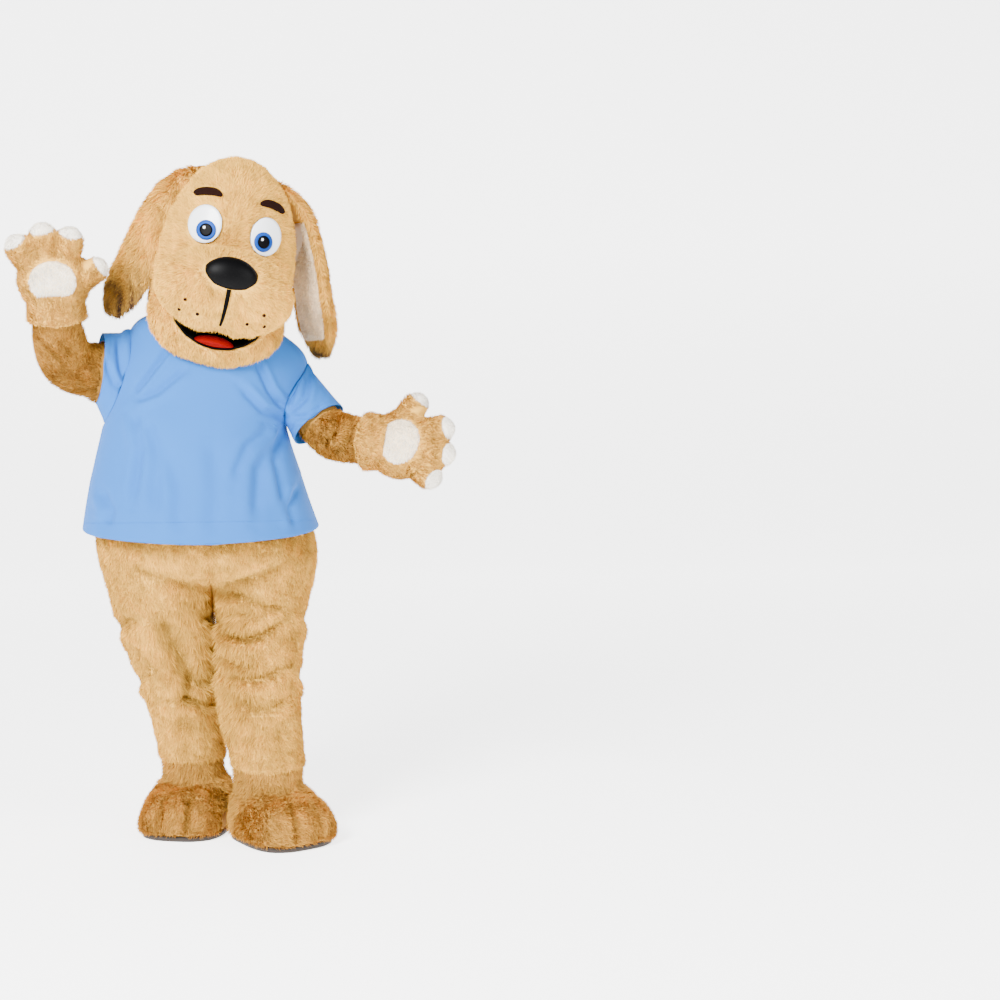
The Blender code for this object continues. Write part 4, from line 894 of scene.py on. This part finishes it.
TEE_FOLDS = folds(
    Facing.FRONT,
    (((-0.258, 1.262), (-0.215, 1.318), (-0.15, 1.4)), 0.009, 0.0117),
    (((-0.262, 1.245), (-0.19, 1.272), (-0.1, 1.345)), 0.01, 0.0104),
    (((-0.258, 1.225), (-0.236, 1.12), (-0.262, 0.96)), 0.013, 0.0117),
    (((-0.225, 1.205), (-0.19, 1.11), (-0.2, 0.93)), 0.018, 0.0117),
    (((-0.17, 1.13), (-0.13, 1.01), (-0.135, 0.88)), 0.022, 0.0091),
    (((0.16, 1.215), (0.118, 1.272), (0.075, 1.37)), 0.009, 0.0117),
    (((0.165, 1.19), (0.1, 1.215), (0.03, 1.29)), 0.01, 0.0104),
    (((0.16, 1.175), (0.135, 1.08), (0.158, 0.94)), 0.013, 0.013),
    (((0.15, 1.15), (0.085, 1.06), (0.075, 0.91)), 0.018, 0.0117),
    (((0.12, 1.17), (0.055, 1.12), (0.01, 1.02)), 0.014, 0.0091),
    (((-0.04, 1.15), (-0.03, 1.01), (-0.045, 0.87)), 0.024, 0.0078),
    (((-0.352, 1.005), (-0.322, 0.95), (-0.335, 0.905)), 0.014, 0.0117),
    (((0.2, 1.01), (0.172, 0.95), (0.182, 0.895)), 0.012, 0.01),
) + folds(
    Facing.BACK,
    (((-0.262, 1.225), (-0.18, 1.3), (-0.1, 1.39)), 0.011, 0.0117),
    (((-0.27, 1.19), (-0.17, 1.2), (-0.06, 1.26)), 0.014, 0.0091),
    (((-0.29, 1.15), (-0.21, 1.08), (-0.19, 0.93)), 0.018, 0.0117),
    (((0.16, 1.19), (0.08, 1.26), (0.02, 1.36)), 0.011, 0.0117),
    (((0.165, 1.15), (0.09, 1.11), (0.04, 0.98)), 0.016, 0.0104),
    (((0.18, 1.1), (0.15, 1.01), (0.16, 0.89)), 0.018, 0.0117),
    (((-0.12, 1.12), (-0.11, 1.0), (-0.13, 0.88)), 0.022, 0.0091),
    (((-0.08, 1.4), (-0.084, 1.15), (-0.084, 0.88)), 0.004, 0.0029, 0.3),
)
SLEEVE_FOLDS = folds(
    Facing.FRONT,
    (((-0.215, 1.475), (-0.252, 1.39), (-0.262, 1.25)), 0.01, 0.0117),
    (((-0.262, 1.25), (-0.29, 1.33), (-0.3, 1.43)), 0.01, 0.0104),
    (((-0.262, 1.25), (-0.31, 1.29), (-0.335, 1.36)), 0.009, 0.0078),
) + folds(
    Facing.BACK,
    (((-0.23, 1.45), (-0.26, 1.36), (-0.27, 1.25)), 0.012, 0.0117),
    (((-0.28, 1.43), (-0.3, 1.35), (-0.3, 1.27)), 0.011, 0.0078),
) + folds(
    Facing.FRONT,
    (((0.185, 1.39), (0.19, 1.3), (0.162, 1.2)), 0.01, 0.0117),
    (((0.162, 1.2), (0.215, 1.25), (0.235, 1.33)), 0.01, 0.0104),
    (((0.165, 1.195), (0.235, 1.2), (0.27, 1.24)), 0.009, 0.0078),
) + folds(
    Facing.BACK,
    (((0.19, 1.38), (0.205, 1.29), (0.175, 1.19)), 0.012, 0.0117),
)
SUIT_FOLDS = folds(
    Facing.FRONT,
    (((-0.3, 0.8), (-0.18, 0.752), (-0.07, 0.722)), 0.014, 0.012),
    (((0.17, 0.8), (0.06, 0.757), (-0.045, 0.725)), 0.014, 0.012),
    (((-0.2, 0.65), (-0.16, 0.56), (-0.118, 0.465), (-0.132, 0.35)), 0.026, 0.024),
    (((-0.285, 0.56), (-0.225, 0.47), (-0.2, 0.4)), 0.018, 0.012),
    (((-0.205, 0.38), (-0.15, 0.402), (-0.11, 0.392), (-0.04, 0.362)), 0.013, 0.019),
    (((-0.2, 0.3), (-0.15, 0.325), (-0.08, 0.3)), 0.014, 0.009),
    (((-0.04, 0.712), (0.04, 0.7), (0.1, 0.668), (0.175, 0.662)), 0.013, 0.019),
    (((0.01, 0.672), (0.08, 0.64), (0.12, 0.65)), 0.011, 0.012),
    (((-0.036, 0.6), (0.04, 0.58), (0.09, 0.592), (0.178, 0.65)), 0.013, 0.02),
    (((-0.03, 0.53), (0.03, 0.506), (0.08, 0.5)), 0.011, 0.016),
    (((-0.012, 0.492), (0.05, 0.47), (0.11, 0.476), (0.168, 0.502)), 0.014, 0.02),
    (((0.022, 0.42), (0.06, 0.384), (0.11, 0.382), (0.165, 0.415)), 0.013, 0.016),
    (((0.04, 0.3), (0.09, 0.322), (0.15, 0.305)), 0.014, 0.009),
) + folds(
    Facing.BACK,
    (((-0.32, 0.68), (-0.22, 0.62), (-0.08, 0.65)), 0.018, 0.018),
    (((-0.29, 0.59), (-0.2, 0.52), (-0.11, 0.5)), 0.016, 0.018),
    (((-0.255, 0.43), (-0.19, 0.4), (-0.07, 0.44)), 0.015, 0.015),
    (((-0.215, 0.33), (-0.15, 0.3), (-0.08, 0.31)), 0.013, 0.012),
    (((0.21, 0.68), (0.11, 0.62), (0.0, 0.64)), 0.018, 0.018),
    (((0.195, 0.56), (0.12, 0.51), (0.01, 0.54)), 0.016, 0.016),
    (((0.19, 0.41), (0.1, 0.39), (0.02, 0.43)), 0.015, 0.015),
    (((-0.06, 0.8), (-0.07, 0.74), (-0.06, 0.69)), 0.012, 0.014),
) + folds(
    Facing.LEFT,
    (((-0.1, 0.66), (0.0, 0.58), (0.08, 0.55)), 0.016, 0.016),
    (((-0.13, 0.5), (-0.05, 0.44), (0.08, 0.45)), 0.015, 0.015),
) + folds(
    Facing.RIGHT,
    (((-0.12, 0.64), (0.0, 0.6), (0.12, 0.54)), 0.016, 0.016),
    (((-0.09, 0.5), (0.02, 0.43), (0.12, 0.44)), 0.015, 0.015),
)
ARM_FOLDS = folds(
    Facing.FRONT,
    (((-0.395, 1.265), (-0.405, 1.33), (-0.44, 1.4)), 0.012, 0.008),
    (((-0.425, 1.28), (-0.445, 1.35), (-0.5, 1.4)), 0.012, 0.008),
) + folds(
    Facing.BACK,
    (((-0.4, 1.27), (-0.42, 1.33), (-0.47, 1.39)), 0.012, 0.008),
) + folds(
    Facing.FRONT,
    (((0.25, 1.11), (0.29, 1.16), (0.3, 1.22)), 0.012, 0.007),
    (((0.29, 1.08), (0.325, 1.14), (0.33, 1.2)), 0.012, 0.007),
) + folds(
    Facing.BACK,
    (((0.27, 1.1), (0.3, 1.16), (0.3, 1.22)), 0.012, 0.007),
)
TOE_SEAMS = (  # start and end ahead of the ankle and beside it, half breadth and depth
    (0.14, 0.23, -0.036, -0.042, 0.008, 0.012),
    (0.14, 0.23, 0.036, 0.042, 0.008, 0.012),
    (0.02, 0.12, 0.0, 0.0, 0.006, 0.006),
    (0.11, 0.2, -0.0576, -0.072, 0.03, -0.008),
    (0.11, 0.2, 0.0, 0.0, 0.03, -0.008),
    (0.11, 0.2, 0.0576, 0.072, 0.03, -0.008),
)
SHOE_TURNS = {"right": ((-0.106, 0.056), -18.0), "left": ((0.108, -0.1), 30.0)}


def toe_seams(heel: tuple, turn: float) -> list:
    """The seams between a shoe's toes and along its middle, and the ridges of the toes.

    Args:
        heel: x and y of its ankle.
        turn: degrees that it is turned out.

    Returns:
        Their creases.
    """
    angle = math.radians(turn)
    ahead = np.array([math.sin(angle), -math.cos(angle)])
    aside = np.array([math.cos(angle), math.sin(angle)])
    seams = []
    for near, far, shift, splay, width, depth in TOE_SEAMS:
        start = np.array(heel) + ahead * near + aside * shift
        end = np.array(heel) + ahead * far + aside * splay
        seams.append(Crease((tuple(start), tuple(end)), width, depth, 0.0, Facing.TOP))
    return seams


# ---- the costume


EYE_PARTS = {"eye_white": "eye_white", "iris": "iris_blue", "pupil": "pupil_black"}


def ear_tint(at: np.ndarray) -> np.ndarray:
    """The tan of an ear, turning dark brown at its tip."""
    reach = np.where(at[:, 0] < 0, EAR_DARK["right"], EAR_DARK["left"])
    above = at[:, 2] - at[:, 2].min()
    dark = np.clip(1.25 - above / reach, 0.0, 1.0)[:, None]
    dark = dark * (0.75 + 0.25 * np.sin(at[:, :1] * 310.0 + at[:, 1:2] * 170.0))
    return np.array(TAN) * (1 - dark) + np.array(DARK_TIP) * dark


class Costume:
    """Every piece of the costume."""

    def __init__(self, frame: dict) -> None:
        self.frame = frame
        self.pile = PileMaker(frame)
        self.shells: dict = {}

    def shell(self, node: str, slot: str, line=HEAD_MIDDLE, creases=(), **options) -> Shell:
        """Builds one shell and keeps it by name."""
        made = Shell(node, slot, line, creases, **options)
        made.build(self.frame["nodes"][node], finish(slot))
        self.shells[node] = made
        return made

    def furry(self, node: str, pile: Pile, slot="fur_tan", tint=None, solid=False, **options) -> None:
        """Builds one shell with its pile; a solid piece has no hollow, so pile covers all of it."""
        skin = self.shell(node, slot, **options)
        if solid:
            skin.outward[:] = True
        self.pile.grow(skin, pile, tint)

    def tee(self) -> None:
        """The cotton tee."""
        self.shell("tee_front", "tee_blue", TRUNK_LINE, TEE_FOLDS, levels=3)
        for side in SIDES:
            self.shell(f"tee_back_{side}", "tee_blue", TRUNK_LINE, TEE_FOLDS)
        for side in SIDES:
            self.shell(f"tee_sleeve_{side}", "tee_blue", ARM_LINES[side], SLEEVE_FOLDS, levels=3)

    def suit(self) -> None:
        """The body suit, its sleeves and its tail."""
        body = Pile(LEG_TAN, length=0.0135, lift=0.65, meets=True)
        sleeve = Pile(ARM, length=0.014, nap=Nap.SPINE, top=0.35)
        for side in SIDES:
            line = TRUNK_LINE + LEG_LINES[side]
            for part in ("front", "back"):
                self.furry(f"body_{part}_{side}", body, line=line, creases=SUIT_FOLDS)
            line = ARM_LINES[side]
            self.furry(f"arm_{side}", sleeve, "fur_deep", line=line, creases=ARM_FOLDS)
        self.furry("tail", Pile(TAN, length=0.016), solid=True, line=TAIL_LINE)

    def head(self) -> None:
        """The head's fur pieces."""
        face = Pile(TAN, length=0.013, lift=0.6, nap=Nap.FACE)
        ear = Pile(TAN, length=0.018, lift=0.6)
        lining = Pile(CREAM, per_m2=150000.0, length=0.008, lift=0.8, vary=0.10)
        self.furry("head_front", face)
        for side in SIDES:
            self.furry(f"head_back_{side}", Pile(TAN, length=0.016))
            self.furry(f"ear_{side}", ear, tint=ear_tint, solid=True)
            self.furry(f"ear_lining_{side}", lining, "fur_cream", solid=True)
        self.furry("muzzle", face, line=MUZZLE_MIDDLE, voxel=0.006, soften=4)
        self.furry("jaw", Pile(TAN, length=0.014), line=JAW_MIDDLE, voxel=0.006, soften=4)

    def features(self) -> None:
        """The smooth and felt pieces of the face."""
        for side in SIDES:
            for part, slot in EYE_PARTS.items():
                self.shell(f"{part}_{side}", slot, levels=1)
            self.shell(f"brow_{side}", "brow_brown")
        self.shell("nose", "nose_black")
        self.shell("mouth_lining", "mouth_black", levels=1)
        self.shell("muzzle_line", "mouth_black")
        self.shell("tongue", "tongue_red")
        for i in range(1, 7):
            self.shell(f"whisker_dot_{i}", "brow_brown", levels=1)

    def hands(self) -> None:
        """The mitts."""
        cap = Pile(WHITE, per_m2=250000.0, length=0.007, width=0.0010, lift=0.9, vary=0.06)
        pad = replace(cap, vary=0.08)
        mitt = Pile(MITT, length=0.012, nap=Nap.SPINE, top=0.10)
        for side in SIDES:
            line = MITT_LINES[side]
            self.furry(f"mitt_{side}", mitt, line=line, voxel=0.006, soften=5)
            for finger in FINGERS:
                self.furry(f"finger_cap_{finger}_{side}", cap, "fur_white", solid=True, line=line)
            self.furry(f"palm_pad_{side}", pad, "fur_cream", solid=True, line=line)

    def feet(self) -> None:
        """The shoes."""
        pile = Pile(SHOE, length=0.016, lift=1.0, nap=Nap.SPINE, top=0.20)
        for side in SIDES:
            line, seams = SHOE_LINES[side], toe_seams(*SHOE_TURNS[side])
            skin = self.shell(f"shoe_{side}", "fur_deep", line, seams, voxel=0.007, soften=5)
            skin.obj.data.materials[0] = finish("fur_shoe")
            self.pile.grow(skin, pile)
            self.shell(f"shoe_sole_{side}", "sole_dark", line, levels=1)

    def build(self) -> None:
        """Builds every piece."""
        self.tee()
        self.suit()
        self.head()
        self.features()
        self.hands()
        self.feet()
        self.trims()

    def trims(self) -> None:
        """Stitches on the tee, eye rims and glints."""
        body = [self.shells[n] for n in ("tee_front", "tee_back_left", "tee_back_right")]
        hem = (row((-0.08, 0.0, 0.895)), (0.0, 0.09, 1.0), (1.0, 0.0, 0.0))
        stitches("hem_stitches", body, hem)
        for side in SIDES:
            line = row(ARM_LINES[side])
            way = unit(line[1] - line[0]) if side == "right" else unit(line[2] - line[1])
            sleeve = self.shells[f"tee_sleeve_{side}"]
            end = max((sleeve.points - line[0]) @ way)
            centre = line[0] + way * (end - SLEEVE_HEM)
            stitches(f"sleeve_stitches_{side}", [sleeve], (centre, way, (0.0, 1.0, 0.0)))
            rim(f"eye_rim_{side}", self.shells[f"eye_white_{side}"], 0.0016)
            # a painted highlight on each pupil
            glint(f"eye_glint_{side}", self.shells[f"pupil_{side}"], (-0.005, 0.007), 0.0042)


# ---- studio


DAYLIGHT = 0.35  # strength of the even white light from all round
LAMPS = {  # each lamp's place, breadth, watts and the place that it faces
    "key": ((-2.2, -3.6, 2.2), 1.8, 790.0, (0.0, 0.0, -0.2)),
    "fill": ((3.0, -2.8, 1.0), 2.4, 170.0, (0.0, 0.0, -0.3)),
}


@dataclass(frozen=True)
class Studio:
    """Camera, floor and light.

    Args:
        distance: camera's distance in front of the costume.
        height: its height above the floor.
        yaw: degrees it turns towards the costume's left.
        pitch: degrees it looks down.
        lens: focal length in millimetres.
        front: how far the floor reaches in front of the costume.
        back: how far behind it the floor starts to curve up.
        bend: radius of that curve.
        top: height of the wall.
        half_width: half the breadth of the floor and the wall.
    """

    distance: float = 5.6
    height: float = 1.45
    yaw: float = 7.97
    pitch: float = 5.1
    lens: float = 70.05
    front: float = 9.0
    back: float = 5.5
    bend: float = 2.0
    top: float = 9.0
    half_width: float = 11.0

    def camera(self) -> None:
        """Sets up the camera."""
        data = bpy.data.cameras.new("camera")
        data.lens = self.lens
        data.sensor_width = 36.0
        camera = show("camera", data)
        camera.location = (0.0, -self.distance, self.height - HOLD)
        camera.rotation_euler = (math.radians(90.0 - self.pitch), 0.0, -math.radians(self.yaw))
        bpy.context.scene.camera = camera

    def floor(self) -> None:
        """A pale floor that curves up behind."""
        bm = bmesh.new()
        line = [(-self.front, 0.0), (self.back, 0.0)]
        for turn in np.linspace(0.1, math.pi / 2, 12):
            y = self.back + self.bend * math.sin(turn)
            line.append((y, self.bend - self.bend * math.cos(turn)))
        line.append((self.back + self.bend, self.top))
        verts = [bm.verts.new((-self.half_width, y, z - HOLD)) for y, z in line]
        edges = [bm.edges.new(pair) for pair in zip(verts[:-1], verts[1:])]
        made = bmesh.ops.extrude_edge_only(bm, edges=edges)["geom"]
        far = [v for v in made if isinstance(v, bmesh.types.BMVert)]
        bmesh.ops.translate(bm, verts=far, vec=(2.0 * self.half_width, 0.0, 0.0))
        bmesh.ops.recalc_face_normals(bm, faces=bm.faces)
        for face in bm.faces:
            face.smooth = True
        mesh = mesh_from(bm, "floor")
        mesh.materials.append(BACKDROP.make())
        show("floor", mesh)

    def light(self) -> None:
        """Soft light from all round, stronger from the front and above."""
        world = bpy.data.worlds.new("studio")
        world.use_nodes = True
        fill(world.node_tree.nodes["Background"], {"Color": BRIGHT, "Strength": DAYLIGHT})
        bpy.context.scene.world = world
        for name, (at, size, power, towards) in LAMPS.items():
            data = bpy.data.lights.new(name, "AREA")
            data.size = size
            data.energy = power
            lamp = show(name, data)
            lamp.location = at
            way = Vector(towards) - Vector(at)
            lamp.rotation_euler = way.to_track_quat("-Z", "Y").to_euler()

    def build(self) -> None:
        """Sets up the whole studio."""
        self.camera()
        self.floor()
        self.light()


def main() -> None:
    """Builds the costume and its studio."""
    logging.basicConfig(level=logging.INFO, format="%(name)s: %(message)s")
    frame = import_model()
    costume = Costume(frame)
    costume.build()
    Studio().build()
    bpy.context.view_layer.update()


if __name__ == "__main__":
    main()
